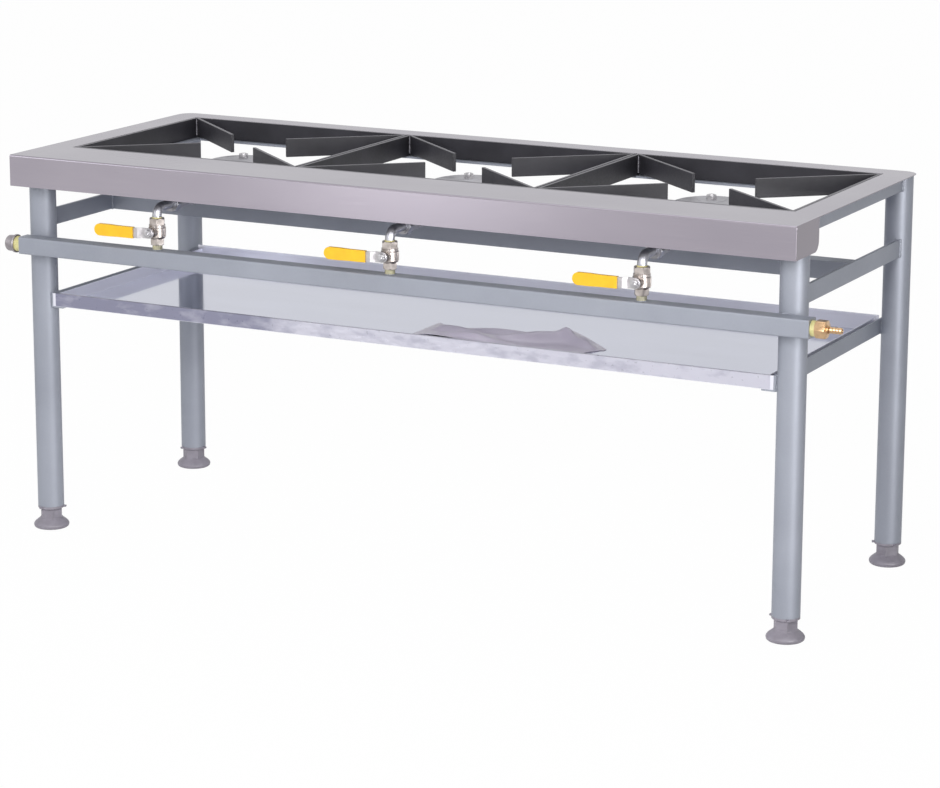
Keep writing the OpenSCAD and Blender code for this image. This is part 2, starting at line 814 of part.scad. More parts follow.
module valve_stem_1() { valve_stem(1); }
module valve_stem_2() { valve_stem(2); }
module valve_stem_3() { valve_stem(3); }

// plan of the pressed blade: flat at the stem, stepped forward under the sleeve
module blade_plan() {
    tip = -lever_length + blade_inset;
    half = lever_width / 2;
    polygon([[half, -lever_back], [-step_start, -lever_back], [-step_end, -lever_back - lever_step],
        [tip, -lever_back - lever_step], [tip, -lever_front - lever_step],
        [-step_end, -lever_front - lever_step], [-step_start, -lever_front], [half, -lever_front]]);
}

// front outline of the blade: X across, Z up
module blade_outline() {
    half = lever_width / 2;
    reach = lever_length - blade_inset - half;
    circle(half);
    translate([-reach, -half]) square([reach, lever_width]);
    translate([-reach, 0]) circle(half);
}

module blade_shape() {
    difference() {
        intersection() {
            translate([0, 0, -lever_width]) linear_extrude(lever_width * 2) blade_plan();
            rotate([90, 0, 0]) linear_extrude(stem_end * 2) blade_outline();
        }
        rotate([90, 0, 0]) cylinder(h = stem_end * 2, r = stem_diameter / 2);
    }
}

module lever_blade(index) {
    color(plated) at_valve(index) blade_shape();
}

module lever_blade_1() { lever_blade(1); }
module lever_blade_2() { lever_blade(2); }
module lever_blade_3() { lever_blade(3); }

// front outline of the sleeve: waisted in the middle, round at the tip
module sleeve_outline() {
    half = sleeve_width / 2;
    waist = half * 0.94;
    middle = (sleeve_start - lever_length) / 2;
    waist_end = middle + 6;
    grip_start = middle - 8;
    round_x = -lever_length + half;
    translate([round_x, 0]) circle(half);
    polygon([[sleeve_start, -waist], [sleeve_start, waist], [waist_end, waist], [grip_start, half],
        [round_x, half], [round_x, -half], [grip_start, -half], [waist_end, -waist]]);
}

module lever_sleeve(index) {
    middle = lever_back + lever_step + lever_thickness / 2;
    color(yellow) at_valve(index) difference() {
        translate([0, -middle + sleeve_thickness / 2, 0]) rotate([90, 0, 0])
            linear_extrude(sleeve_thickness) sleeve_outline();
        blade_shape();
    }
}

module lever_sleeve_1() { lever_sleeve(1); }
module lever_sleeve_2() { lever_sleeve(2); }
module lever_sleeve_3() { lever_sleeve(3); }

// pipe from a valve's top, bent back to the injector holder
module feed_pipe(index) {
    low = valve_length / 2 - thread_depth;
    rise = pipe_z - bend_radius - stem_z;
    back = bend_radius + run_length + pipe_engagement;
    color(plated) at_valve(index) difference() {
        union() {
            translate([0, 0, low]) cylinder(h = rise - low, r = pipe_radius);
            translate([0, bend_radius, rise]) rotate([90, 0, -90]) rotate_extrude(angle = 90, $fn = 64)
                translate([bend_radius, 0]) circle(pipe_radius);
            translate([0, bend_radius, rise + bend_radius]) rotate([-90, 0, 0])
                cylinder(h = back - bend_radius, r = pipe_radius);
        }
        translate([0, 0, low - 1]) cylinder(h = rise - low + 1, r = pipe_bore / 2);
        translate([0, bend_radius, rise]) rotate([90, 0, -90]) rotate_extrude(angle = 90, $fn = 64)
            translate([bend_radius, 0]) circle(pipe_bore / 2);
        translate([0, bend_radius, rise + bend_radius]) rotate([-90, 0, 0])
            cylinder(h = back - bend_radius + 1, r = pipe_bore / 2);
    }
}

module feed_pipe_1() { feed_pipe(1); }
module feed_pipe_2() { feed_pipe(2); }
module feed_pipe_3() { feed_pipe(3); }

// hexagon between a feed pipe and a mixing tube, with the gas jet inside the tube
module injector_holder(index) {
    flare = 4;
    face_radius = holder_hexagon / 2 + 0.3;
    collar_length = 2.5;
    collar_step = 2;
    spigot = 8;
    nozzle = 7;
    nozzle_radius = 5;
    nozzle_tip = 3.2;
    gas_radius = 2.4;
    jet_radius = 0.9;
    color(plated) placed() translate([bay_x[index - 1] + valve_offset, holder_y, pipe_z]) difference() {
        union() {
            translate([0, -collar_length, 0]) rotate([-90, 0, 0])
                cylinder(h = collar_length + 0.5, r = pipe_radius + collar_step);
            rotate([-90, 0, 0]) intersection() {
                cylinder(h = holder_length, r = holder_hexagon / sqrt(3), $fn = 6);
                union() {
                    cylinder(h = holder_length / 2, r1 = face_radius, r2 = holder_hexagon / 2 + flare);
                    translate([0, 0, holder_length / 2])
                        cylinder(h = holder_length / 2, r1 = holder_hexagon / 2 + flare, r2 = face_radius);
                }
            }
            translate([0, holder_length, 0]) rotate([-90, 0, 0]) cylinder(h = spigot, r = mixing_bore / 2);
            translate([0, holder_length + nozzle, 0]) rotate([-90, 0, 0])
                cylinder(h = nozzle, r1 = nozzle_radius, r2 = nozzle_tip);
        }
        translate([0, -3, 0]) rotate([-90, 0, 0]) cylinder(h = pipe_engagement + 3, r = pipe_radius);
        rotate([-90, 0, 0]) cylinder(h = holder_length + spigot + 1, r = gas_radius);
        rotate([-90, 0, 0]) cylinder(h = holder_length + 2 * nozzle + 6, r = jet_radius);
    }
}

module injector_holder_1() { injector_holder(1); }
module injector_holder_2() { injector_holder(2); }
module injector_holder_3() { injector_holder(3); }

function bowl_curve(r0, r1, z0, z1, steps = 12) = [for (i = [0:steps]) let (a = 90 * i / steps)
    [r0 + (r1 - r0) * sin(a), z0 + (z1 - z0) * (1 - cos(a))]];

// cast burner: bowl, mixing tube with two air windows and the stud's boss
module burner_body(index) {
    rim = bowl_diameter / 2;
    base = 24;
    curve_top = rim_height - 6;
    tube_length = burner_y - rim * 0.8 - mouth_y;
    window = mouth_y + 18 - burner_y;
    window_length = 16;
    window_height = 8;
    rib = 4;
    rib_height = bowl_wall + 7;
    rib_reach = rim * 0.62;
    boss_radius = cap_stud / 2 + 5;
    collar_length = 8;
    collar_step = 1.5;
    color(cast) placed() translate([bay_x[index - 1], burner_y, bar_top]) difference() {
        union() {
            difference() {
                rotate_extrude($fn = 72) polygon(concat([[0, 0]], bowl_curve(base, rim, 0, curve_top),
                    [[rim, rim_height], [0, rim_height]]));
                rotate_extrude($fn = 72) polygon(concat([[0, bowl_wall]],
                    bowl_curve(base - 1, rim - bowl_wall, bowl_wall, curve_top),
                    [[rim - bowl_wall, rim_height + 1], [0, rim_height + 1]]));
            }
            cylinder(h = rim_height - 4, r = boss_radius);
            for (a = [45:90:315]) rotate([0, 0, a])
                translate([0, -rib / 2, 1]) cube([rib_reach, rib, rib_height]);
            difference() {
                translate([valve_offset, mouth_y - burner_y, mixing_height]) rotate([-90, 0, 0])
                    cylinder(h = tube_length, r = mixing_diameter / 2);
                cylinder(h = rim_height, r = rim - bowl_wall - 1);
            }
            translate([valve_offset, mouth_y - burner_y, mixing_height]) rotate([-90, 0, 0])
                cylinder(h = collar_length, r = mixing_diameter / 2 + collar_step);
        }
        translate([valve_offset, mouth_y - burner_y - 1, mixing_height]) rotate([-90, 0, 0])
            cylinder(h = tube_length + 1, r = mixing_bore / 2);
        translate([valve_offset - mixing_diameter, window, mixing_height - window_height / 2])
            cube([mixing_diameter * 2, window_length, window_height]);
        translate([0, 0, bowl_wall]) cylinder(h = rim_height, r = cap_stud / 2);
    }
}

module burner_body_1() { burner_body(1); }
module burner_body_2() { burner_body(2); }
module burner_body_3() { burner_body(3); }

// domed cap: a skirt with flame ports stands on the bowl's rim, the disc overhangs it
module burner_cap(index) {
    rim = bowl_diameter / 2;
    disc = burner_cap_diameter / 2;
    skirt = 11.5;
    edge = 2.5;
    boss = 19;
    plug_depth = 4;
    inner = rim - bowl_wall - 6;
    crown = burner_cap_height - 1;
    dome = crown - skirt - edge;
    color(cast) placed() translate([bay_x[index - 1], burner_y, bar_top + rim_height]) difference() {
        rotate_extrude($fn = 72) polygon(concat(
            [[rim - bowl_wall, -plug_depth], [rim - bowl_wall, 0], [rim, 0], [rim, skirt]],
            [[disc - 0.8, skirt], [disc, skirt + 0.8], [disc, skirt + edge - 0.6]],
            [for (i = [0:8]) let (a = 90 * i / 8)
                [boss + 1 + (disc - boss - 2) * cos(a), skirt + edge + dome * sin(a)]],
            [[boss, burner_cap_height], [0, burner_cap_height], [0, burner_cap_height - 6]],
            [[boss, burner_cap_height - 6], [inner, skirt], [inner, 1]],
            [[inner + 2, -plug_depth]]));
        for (i = [0:port_count - 1]) rotate([0, 0, (i + 0.5) * 360 / port_count])
            translate([inner - 6, 0, skirt / 2 + 0.2]) rotate([0, 90, 0])
                cylinder(h = bowl_wall + 18, r = port_diameter / 2);
        cylinder(h = burner_cap_height * 2, r = cap_stud / 2);
    }
}

module burner_cap_1() { burner_cap(1); }
module burner_cap_2() { burner_cap(2); }
module burner_cap_3() { burner_cap(3); }

// stud and nut on each burner
module burner_cap_studs() {
    top = bar_top + rim_height + burner_cap_height;
    low = bar_top + bowl_wall;
    nut = 6.5;
    over_nut = 0.8;
    nut_flats = cap_stud + 5;
    color(plated) placed() for (x = bay_x) translate([x, burner_y, 0]) {
        translate([0, 0, low]) cylinder(h = top + nut + over_nut - low, r = cap_stud / 2);
        translate([0, 0, top]) intersection() {
            cylinder(h = nut, r = nut_flats / sqrt(3), $fn = 6);
            cylinder(h = nut, r1 = cap_stud + 2, r2 = nut_flats / 2 + 0.1);
        }
    }
}

// lift-out pan support: a frame of upright bars with four diagonal fins
module pan_support(index) {
    half_x = (bay_pitch - support_clearance) / 2;
    half_y = (opening_back - opening_front - support_clearance) / 2;
    t = support_thickness;
    reach_x = half_x - t / 2 - fin_end_x;
    reach_y = half_y - t / 2 - fin_end_y;
    length = sqrt(reach_x * reach_x + reach_y * reach_y);
    color(black) placed() translate([bay_x[index - 1], burner_y, 0]) {
        difference() {
            block([-half_x, -half_y, support_bottom], [half_x, half_y, table_height]);
            block([-half_x + t, -half_y + t, support_bottom - 1], [half_x - t, half_y - t, table_height + 1]);
        }
        for (sx = [0, 1], sy = [0, 1]) mirror([sx, 0, 0]) mirror([0, sy, 0])
            intersection() {
                translate([fin_end_x, fin_end_y, table_height - fin_height])
                    rotate([0, 0, atan2(reach_y, reach_x)]) translate([0, -t / 2, 0])
                        cube([length, t, fin_height]);
                block([0, 0, support_bottom], [half_x, half_y, table_height]);
            }
    }
}

module pan_support_1() { pan_support(1); }
module pan_support_2() { pan_support(2); }
module pan_support_3() { pan_support(3); }

top_surround();
support_ledges();
top_bar_left();
top_bar_right();
top_bar_front();
leg_front_left();
leg_front_right();
leg_rear_left();
leg_rear_right();
leg_sockets();
lower_bar_left();
lower_bar_right();
burner_bar();
shelf_bar_left();
shelf_bar_right();
shelf_tray();
gas_manifold();
manifold_cap();
inlet_hose_tail();
thread_tapes();
valve_seals();
valve_body_1();
valve_body_2();
valve_body_3();
valve_retainer_1();
valve_retainer_2();
valve_retainer_3();
feed_pipe_1();
feed_pipe_2();
feed_pipe_3();
injector_holder_1();
injector_holder_2();
injector_holder_3();
burner_body_1();
burner_body_2();
burner_body_3();
burner_cap_1();
burner_cap_2();
burner_cap_3();
burner_cap_studs();
valve_ball_1();
valve_ball_2();
valve_ball_3();
valve_stem_1();
valve_stem_2();
valve_stem_3();
lever_blade_1();
lever_blade_2();
lever_blade_3();
lever_sleeve_1();
lever_sleeve_2();
lever_sleeve_3();
pan_support_1();
pan_support_2();
pan_support_3();
foot_front_left();
foot_front_right();
foot_rear_left();
foot_rear_right();
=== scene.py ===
import math
import random

import bpy
from mathutils import Matrix, Vector, noise


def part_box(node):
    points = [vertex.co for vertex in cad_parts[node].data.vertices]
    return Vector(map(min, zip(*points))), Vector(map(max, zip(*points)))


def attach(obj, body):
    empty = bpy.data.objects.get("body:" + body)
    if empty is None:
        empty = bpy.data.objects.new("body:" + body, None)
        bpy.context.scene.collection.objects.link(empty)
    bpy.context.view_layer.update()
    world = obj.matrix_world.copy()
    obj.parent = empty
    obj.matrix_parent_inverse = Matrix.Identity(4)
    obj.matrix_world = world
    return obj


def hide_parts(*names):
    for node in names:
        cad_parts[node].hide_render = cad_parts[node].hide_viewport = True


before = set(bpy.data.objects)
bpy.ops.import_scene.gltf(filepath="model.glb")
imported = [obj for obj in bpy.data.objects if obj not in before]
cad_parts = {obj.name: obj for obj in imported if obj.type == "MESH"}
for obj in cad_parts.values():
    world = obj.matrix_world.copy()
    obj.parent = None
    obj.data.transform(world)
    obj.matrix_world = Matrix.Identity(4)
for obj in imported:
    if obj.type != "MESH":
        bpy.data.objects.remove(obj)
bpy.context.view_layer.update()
print("frame loaded:", len(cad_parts), "nodes")

mm = 0.001
mergeDistance = 0.002 * mm


def nodeMiddle(node):
    low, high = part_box(node)
    return (low + high) / 2


# places shared by several pieces, read from the CAD nodes
trayLow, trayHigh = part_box("shelf_tray")
tubeMiddle = nodeMiddle("manifold_cap")
tubeHalf = 12.5 * mm  # half of the gas tube's width
tubeTop = tubeMiddle.z + tubeHalf
tubeBottom = tubeMiddle.z - tubeHalf


# Modelling helpers


def deselectAll():
    if bpy.context.mode != "OBJECT":
        bpy.ops.object.mode_set(mode="OBJECT")
    bpy.ops.object.select_all(action="DESELECT")


def pick(piece):
    deselectAll()
    piece.select_set(True)
    bpy.context.view_layer.objects.active = piece
    return piece


# runs an add operator and returns the new object
def added(operator, **settings):
    deselectAll()
    operator(**settings)
    return bpy.context.active_object


def objectMode():
    bpy.ops.object.mode_set(mode="OBJECT")


# adds a modifier and applies it
def applied(piece, kind, **settings):
    pick(piece)
    modifier = piece.modifiers.new(kind.title(), kind)
    for name, value in settings.items():
        setattr(modifier, name, value)
    bpy.ops.object.modifier_apply(modifier=modifier.name)
    return piece


# bevels the edges that are sharper than the angle
def rounded(piece, width, segments=2, angle=30):
    return applied(piece, "BEVEL", width=width, segments=segments, limit_method="ANGLE",
                   angle_limit=math.radians(angle), use_clamp_overlap=True, miter_outer="MITER_ARC")


# puts the place and turn of an object into its mesh
def settled(piece):
    pick(piece)
    bpy.ops.object.transform_apply(location=True, rotation=True, scale=True)
    return piece


# merges doubles and points the faces outwards
def cleaned(piece):
    pick(piece)
    bpy.ops.object.mode_set(mode="EDIT")
    bpy.ops.mesh.select_all(action="SELECT")
    bpy.ops.mesh.remove_doubles(threshold=mergeDistance)
    bpy.ops.mesh.normals_make_consistent(inside=False)
    objectMode()
    return piece


def joined(pieces):
    deselectAll()
    for piece in pieces:
        piece.select_set(True)
    bpy.context.view_layer.objects.active = pieces[0]
    bpy.ops.object.join()
    return bpy.context.active_object


# a copy with its own mesh
def copied(piece):
    twin = piece.copy()
    twin.data = piece.data.copy()
    bpy.context.collection.objects.link(twin)
    return twin


def inMetres(profile):
    return [(radius * mm, height * mm) for radius, height in profile]


# a disc extruded ring by ring along Z: the profile is a list of (radius, height)
def turned(profile, sides):
    least = 0.01 * mm  # a ring on the axis keeps this radius until it is merged
    radius, height = profile[0]
    radius = max(radius, least)
    piece = added(bpy.ops.mesh.primitive_circle_add, vertices=sides, radius=radius, fill_type="NGON",
                  location=(0, 0, height))
    settled(piece)
    bpy.ops.object.mode_set(mode="EDIT")
    bpy.ops.mesh.select_mode(type="FACE")
    bpy.ops.mesh.select_all(action="SELECT")
    for nextRadius, nextHeight in profile[1:]:
        nextRadius = max(nextRadius, least)
        bpy.ops.mesh.extrude_region_move(TRANSFORM_OT_translate={"value": (0, 0, nextHeight - height)})
        bpy.ops.transform.resize(value=(nextRadius / radius, nextRadius / radius, 1),
                                 center_override=(0, 0, nextHeight))
        radius, height = nextRadius, nextHeight
    objectMode()
    return cleaned(piece)


# a hexagon along Z whose end corners are cut back by a cone, as on a turned nut
def hexagonNut(acrossFlats, low, high, chamfer, turnBy):
    sides = 6
    slope = 0.55  # rise of the cone over its run
    inner = acrossFlats / 2 * 0.985
    outer = inner + chamfer / slope
    piece = added(bpy.ops.mesh.primitive_cylinder_add, vertices=sides, depth=high - low,
                  radius=acrossFlats / 2 / math.cos(math.pi / sides), location=(0, 0, (low + high) / 2))
    piece.rotation_euler.z = turnBy
    settled(piece)
    cutter = turned([(inner, low), (outer, low + chamfer), (outer, high - chamfer), (inner, high)], 60)
    applied(piece, "BOOLEAN", operation="INTERSECT", object=cutter, solver="EXACT")
    bpy.data.objects.remove(cutter)
    return piece


# turns a piece made along +Z to a direction and sets it on its place
def pointed(piece, direction, place):
    aim = Vector(direction).to_track_quat("Z", "Y").to_matrix().to_4x4()
    piece.data.transform(Matrix.Translation(Vector(place)) @ aim)
    return piece


# names a piece, smooths it and hangs it on its body
def finished(piece, name, body, material, replaced=(), smoothAngle=40):
    settled(piece)
    piece.name = name
    piece.data.name = name
    bpy.ops.object.shade_smooth_by_angle(angle=math.radians(smoothAngle))
    piece.data.materials.clear()
    piece.data.materials.append(material)
    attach(piece, body)
    if replaced:
        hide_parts(*replaced)
    return piece


# a copy of a CAD node with merged vertices, whole faces and softened edges
def dressed(node, name, body, material, bevel=0.4, segments=2, smoothAngle=35):
    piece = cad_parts[node].copy()
    piece.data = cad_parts[node].data.copy()
    piece.parent = None
    piece.matrix_world = Matrix.Identity(4)
    bpy.context.collection.objects.link(piece)
    for key in list(piece.keys()):
        del piece[key]
    pick(piece)
    bpy.ops.object.mode_set(mode="EDIT")
    bpy.ops.mesh.select_all(action="SELECT")
    bpy.ops.mesh.remove_doubles(threshold=mergeDistance)
    bpy.ops.mesh.dissolve_limited(angle_limit=math.radians(0.3))
    objectMode()
    if bevel:
        rounded(piece, bevel * mm, segments)
    finished(piece, name, body, material, (node,), smoothAngle)
    return applied(piece, "WEIGHTED_NORMAL", keep_sharp=True)  # the flats stay flat beside the soft edges


# Materials


# an sRGB hex value as a linear colour
def hexColour(code):
    parts = [int(code[i:i + 2], 16) / 255 for i in (0, 2, 4)]
    return [v / 12.92 if v <= 0.04045 else ((v + 0.055) / 1.055) ** 2.4 for v in parts] + [1.0]


# adds a shader node, sets its options and fills or links its sockets
def addNode(tree, kind, settings=None, inputs=None):
    node = tree.nodes.new("ShaderNode" + kind)
    for name, value in (settings or {}).items():
        setattr(node, name, value)
    for socket, value in (inputs or {}).items():
        if isinstance(value, bpy.types.NodeSocket):
            tree.links.new(value, node.inputs[socket])
        else:
            node.inputs[socket].default_value = value
    return node


# a material with a Principled shader whose sockets are set, and object coordinates in metres
def startMaterial(name, **shader):
    material = bpy.data.materials.new(name)
    material.use_nodes = True
    tree = material.node_tree
    tree.nodes.clear()
    sockets = {key.replace("_", " "): value for key, value in shader.items()}
    surface = addNode(tree, "BsdfPrincipled", inputs=sockets)
    addNode(tree, "OutputMaterial", inputs={"Surface": surface.outputs["BSDF"]})
    place = addNode(tree, "TexCoord").outputs["Object"]
    return material, tree, surface, place


# noise whose grain is size millimetres across, stretched along the axes
def grained(tree, place, size, detail=3.0, roughness=0.55, stretch=(1, 1, 1)):
    mapped = addNode(tree, "Mapping", inputs={"Vector": place, "Scale": [1 / s for s in stretch]})
    return addNode(tree, "TexNoise", {"noise_dimensions": "3D"},
                   {"Vector": mapped.outputs["Vector"], "Scale": 1 / (size * mm), "Detail": detail,
                    "Roughness": roughness}).outputs["Fac"]


# maps a value from one range to another
def spread(tree, value, low, high, fromLow=0.3, fromHigh=0.7):
    return addNode(tree, "MapRange", None, {"Value": value, "From Min": fromLow, "From Max": fromHigh,
                                            "To Min": low, "To Max": high}).outputs["Result"]


# one colour over another by a factor
def blended(tree, factor, first, second):
    mix = addNode(tree, "Mix", {"data_type": "RGBA"})
    for socket, value in ((0, factor), (6, first), (7, second)):
        if isinstance(value, bpy.types.NodeSocket):
            tree.links.new(value, mix.inputs[socket])
        else:
            mix.inputs[socket].default_value = value
    return mix.outputs[2]


# bump of a depth in millimetres
def raised(tree, surface, height, depth):
    bump = addNode(tree, "Bump", None, {"Height": height, "Distance": depth * mm, "Strength": 1.0})
    tree.links.new(bump.outputs["Normal"], surface.inputs["Normal"])


# where a face points, as a node with X, Y and Z outputs
def facingOf(tree):
    return addNode(tree, "SeparateXYZ", None, {0: addNode(tree, "NewGeometry").outputs["Normal"]})


# cold-rolled stainless sheet, belt brushed along X: fine scratches that soften and stretch every highlight; the
# upward flat and the returns get painted shade
def makeBrushedStainless(name, light, dark):
    material, tree, surface, place = startMaterial(name, Metallic=1.0, Roughness=0.3)
    scratch = grained(tree, place, 0.9, 2.0, 0.6, (90, 1, 1))  # drawn coarser than the real 0.1 mm grit
    cloud = grained(tree, place, 140, 3.0, 0.5, (2, 1, 1))
    mixed = addNode(tree, "Math", {"operation": "MULTIPLY_ADD"}, {0: scratch, 1: 0.35, 2: cloud}).outputs[0]
    steel = blended(tree, spread(tree, mixed, 0.0, 1.0, 0.5, 0.85), hexColour(dark), hexColour(light))
    facing = facingOf(tree)
    upward = spread(tree, facing.outputs["Z"], 0.0, 1.0, 0.7, 0.95)  # the upward faces are painted darker: painted shade on the flat
    sideways = spread(tree, facing.outputs["X"], 0.0, 1.0, 0.6, 0.9)  # faces pointing along X are painted darker: painted shade on the returns
    steelWithPaintedTopShade = blended(tree, upward, steel, hexColour("908c96"))
    tree.links.new(blended(tree, sideways, steelWithPaintedTopShade, hexColour("817b83")), surface.inputs["Base Color"])
    tree.links.new(spread(tree, cloud, 0.23, 0.28), surface.inputs["Roughness"])
    raised(tree, surface, scratch, 0.004)
    return material


# bright rolled stainless under its clear lilac protective film: nearly a mirror, evened by the film
def makeFilmedSheet(name, light, dark, wave, depth, gloss):
    material, tree, surface, place = startMaterial(name, Metallic=0.72, Roughness=gloss, Coat_Weight=0.35,
                                                   Coat_Roughness=0.08)
    cloud = grained(tree, place, 60, 3.0, 0.5, (3, 1, 1))
    ripple = grained(tree, place, wave, 3.0, 0.55, (2.4, 1, 1))
    upward = facingOf(tree).outputs["Z"]
    metal = spread(tree, upward, 0.7, 0.8, 0.4, 0.9)  # the film stands off the walls
    tree.links.new(metal, surface.inputs["Metallic"])
    sheet = blended(tree, spread(tree, cloud, 0.0, 1.0), hexColour(dark), hexColour(light))
    onFloor = spread(tree, upward, 0.0, 1.0, 0.4, 0.9)
    tree.links.new(blended(tree, onFloor, hexColour("e4e4ee"), sheet), surface.inputs["Base Color"])
    soft = spread(tree, upward, 0.3, 0.0, 0.4, 0.9)
    rough = addNode(tree, "Math", {"operation": "ADD"}, {0: spread(tree, cloud, gloss, gloss + 0.07), 1: soft})
    tree.links.new(rough.outputs[0], surface.inputs["Roughness"])
    raised(tree, surface, ripple, depth)
    return material


# clear lilac polyethylene film that has cockled: soft plastic gloss, its colour darker towards the left end
def makeWrinkledFilm(name, dark, light, wrinkle, gloss, metal, patchSize):
    material, tree, surface, place = startMaterial(name, Metallic=metal, Roughness=gloss, Coat_Weight=0.3,
                                                   Coat_Roughness=0.2)
    along = addNode(tree, "SeparateXYZ", None, {0: place}).outputs["X"]
    side = spread(tree, along, 0.0, 1.0, -0.24, -0.16)
    patch = spread(tree, grained(tree, place, patchSize, 3.0, 0.5, (2.2, 1, 1)), -0.35, 0.35, 0.35, 0.65)
    share = addNode(tree, "Math", {"operation": "ADD", "use_clamp": True}, {0: side, 1: patch}).outputs[0]
    tree.links.new(blended(tree, share, hexColour(dark), hexColour(light)), surface.inputs["Base Color"])
    smear = grained(tree, place, 6, 3.0)
    tree.links.new(spread(tree, smear, gloss - 0.06, gloss + 0.08), surface.inputs["Roughness"])
    raised(tree, surface, grained(tree, place, 3.5, 4.0, 0.6, (1.6, 1, 1)), wrinkle)
    return material


# stove enamel with aluminium flake over steel: blue-grey, a soft sheen and a slight orange peel; the real flakes
# are under 0.1 mm, and are drawn as coarse as they need to show
def makeFlakeEnamel(name, light, dark):
    material, tree, surface, place = startMaterial(name, Metallic=0.22, Roughness=0.5, Specular_IOR_Level=0.4)
    flake = grained(tree, place, 2.2, 2.0)
    cloud = grained(tree, place, 150, 3.0)
    dust = grained(tree, place, 11, 4.0, 0.65)
    mixed = addNode(tree, "Math", {"operation": "MULTIPLY_ADD"}, {0: flake, 1: 0.18, 2: cloud}).outputs[0]
    tree.links.new(blended(tree, spread(tree, mixed, 0.0, 1.0, 0.35, 0.8), hexColour(dark), hexColour(light)),
                   surface.inputs["Base Color"])
    tree.links.new(spread(tree, dust, 0.46, 0.54), surface.inputs["Roughness"])
    raised(tree, surface, flake, 0.012)
    return material


# heat-proof black paint on hot-rolled flat bar: satin over mill scale, with the tops painted grey, partly paint
# rubbed off by pans and partly a painted highlight
def makeBlackEnamel(name):
    material, tree, surface, place = startMaterial(name, Metallic=0.0, Roughness=0.45, Specular_IOR_Level=0.35)
    scale = grained(tree, place, 2.6, 5.0, 0.6)
    cloud = grained(tree, place, 70, 3.0)
    black = blended(tree, spread(tree, cloud, 0.0, 1.0), hexColour("29282d"), hexColour("3a393f"))
    upward = facingOf(tree).outputs["Z"]
    # the upward faces are painted lighter grey: rubbed paint and a painted highlight
    top = spread(tree, upward, 0.0, 1.0, 0.75, 0.97)
    rubbedAndHighlitTop = addNode(tree, "Math", {"operation": "MULTIPLY"}, {0: top, 1: spread(tree, scale, 0.55, 1.0)})
    tree.links.new(blended(tree, rubbedAndHighlitTop.outputs[0], black, hexColour("77757c")), surface.inputs["Base Color"])
    tree.links.new(spread(tree, scale, 0.4, 0.56), surface.inputs["Roughness"])
    raised(tree, surface, scale, 0.05)
    return material


# grey iron from a sand mould, sprayed with aluminium heat paint: grainy skin, broad soft shine
def makeCastSilver(name):
    material, tree, surface, place = startMaterial(name, Metallic=0.5, Roughness=0.5)
    sand = grained(tree, place, 1.3, 4.0, 0.7)
    stain = grained(tree, place, 26, 4.0, 0.6)
    tree.links.new(blended(tree, spread(tree, stain, 0.0, 1.0), hexColour("96959a"), hexColour("b4b3b8")),
                   surface.inputs["Base Color"])
    tree.links.new(spread(tree, stain, 0.42, 0.58), surface.inputs["Roughness"])
    raised(tree, surface, sand, 0.12)
    return material


# plated steel or brass: bright, with the fine marks of forging or turning left under the plate
def makePlatedMetal(name, light, dark, rough, grainSize=0.8, depth=0.02, metal=1.0):
    material, tree, surface, place = startMaterial(name, Metallic=metal, Roughness=rough)
    grain = grained(tree, place, grainSize, 3.0)
    stain = grained(tree, place, 7, 3.0)
    tree.links.new(blended(tree, spread(tree, stain, 0.0, 1.0), hexColour(dark), hexColour(light)),
                   surface.inputs["Base Color"])
    tree.links.new(spread(tree, stain, rough - 0.05, rough + 0.08), surface.inputs["Roughness"])
    raised(tree, surface, grain, depth)
    return material


# injection-moulded or dipped plastic: even colour, a fine skin texture and soft scuffs
def makeMouldedPlastic(name, light, dark, rough, skin, size=0.6, coat=0.0):
    material, tree, surface, place = startMaterial(name, Metallic=0.0, Roughness=rough, Coat_Weight=coat,
                                                   Coat_Roughness=0.25)
    fine = grained(tree, place, size, 2.0)
    scuff = grained(tree, place, 14, 4.0, 0.6)
    tree.links.new(blended(tree, spread(tree, scuff, 0.0, 1.0), hexColour(dark), hexColour(light)),
                   surface.inputs["Base Color"])
    tree.links.new(spread(tree, scuff, rough - 0.05, rough + 0.1), surface.inputs["Roughness"])
    raised(tree, surface, fine, skin)
    return material


surroundSteel = makeBrushedStainless("brushedStainlessSurround", "a6a0a9", "9e98a2")
traySteel = makeFilmedSheet("filmedBrightTraySheet", "abafc4", "a4a8bd", 45, 0.02, 0.05)
wallFilm = makeWrinkledFilm("wrinkledProtectiveFilm", "84849a", "c8c7d4", 0.12, 0.32, 0.2, 16)
looseFilm = makeWrinkledFilm("loosePeeledFilm", "bfb7c9", "cbc4d6", 0.02, 0.4, 0.0, 60)
framePaint = makeFlakeEnamel("blueGreyFlakeEnamel", "a1a5b0", "9397a2")
blackPaint = makeBlackEnamel("blackHeatEnamel")
castSilver = makeCastSilver("silverPaintedCastIron")
nickelPlate = makePlatedMetal("nickelPlatedForging", "c3bbb7", "a29a95", 0.34, 0.9, 0.05)
zincPlate = makePlatedMetal("zincPlatedSteel", "c2c0c2", "a09fa3", 0.36)
pipeSteel = makePlatedMetal("satinSteelPipe", "b4b4ba", "98989f", 0.42, 1.2, 0.04)
leverSteel = makePlatedMetal("pressedZincedBlade", "bdbabd", "aca9ac", 0.4, 3.0, 0.01)
turnedBrass = makePlatedMetal("turnedBrass", "d0b08c", "ab8c6a", 0.3, 0.5, 0.01)
polishedBall = makePlatedMetal("chromedBall", "e6e6e8", "dadadd", 0.08, 2.0, 0.001)
capSteel = makePlatedMetal("greyPlatedCap", "a5a0a3", "8f8a8e", 0.46, 0.8, 0.06)
barePaintedWeld = makePlatedMetal("heatGreyedWeld", "8d8b92", "6a686f", 0.45, 1.2, 0.08, 0.5)
sleeveVinyl = makeMouldedPlastic("yellowDippedVinyl", "fcc818", "f6bd0e", 0.36, 0.01, 1.2, 0.2)
footPlastic = makeMouldedPlastic("greyMouldedNylon", "9d98a3", "8a858f", 0.48, 0.02)
sealPlastic = makeMouldedPlastic("whiteSealPlastic", "efefe8", "e2e2da", 0.4, 0.005)
tapeFilm = makeMouldedPlastic("yellowThreadTape", "e3dca4", "cfc784", 0.5, 0.2, 1.6)
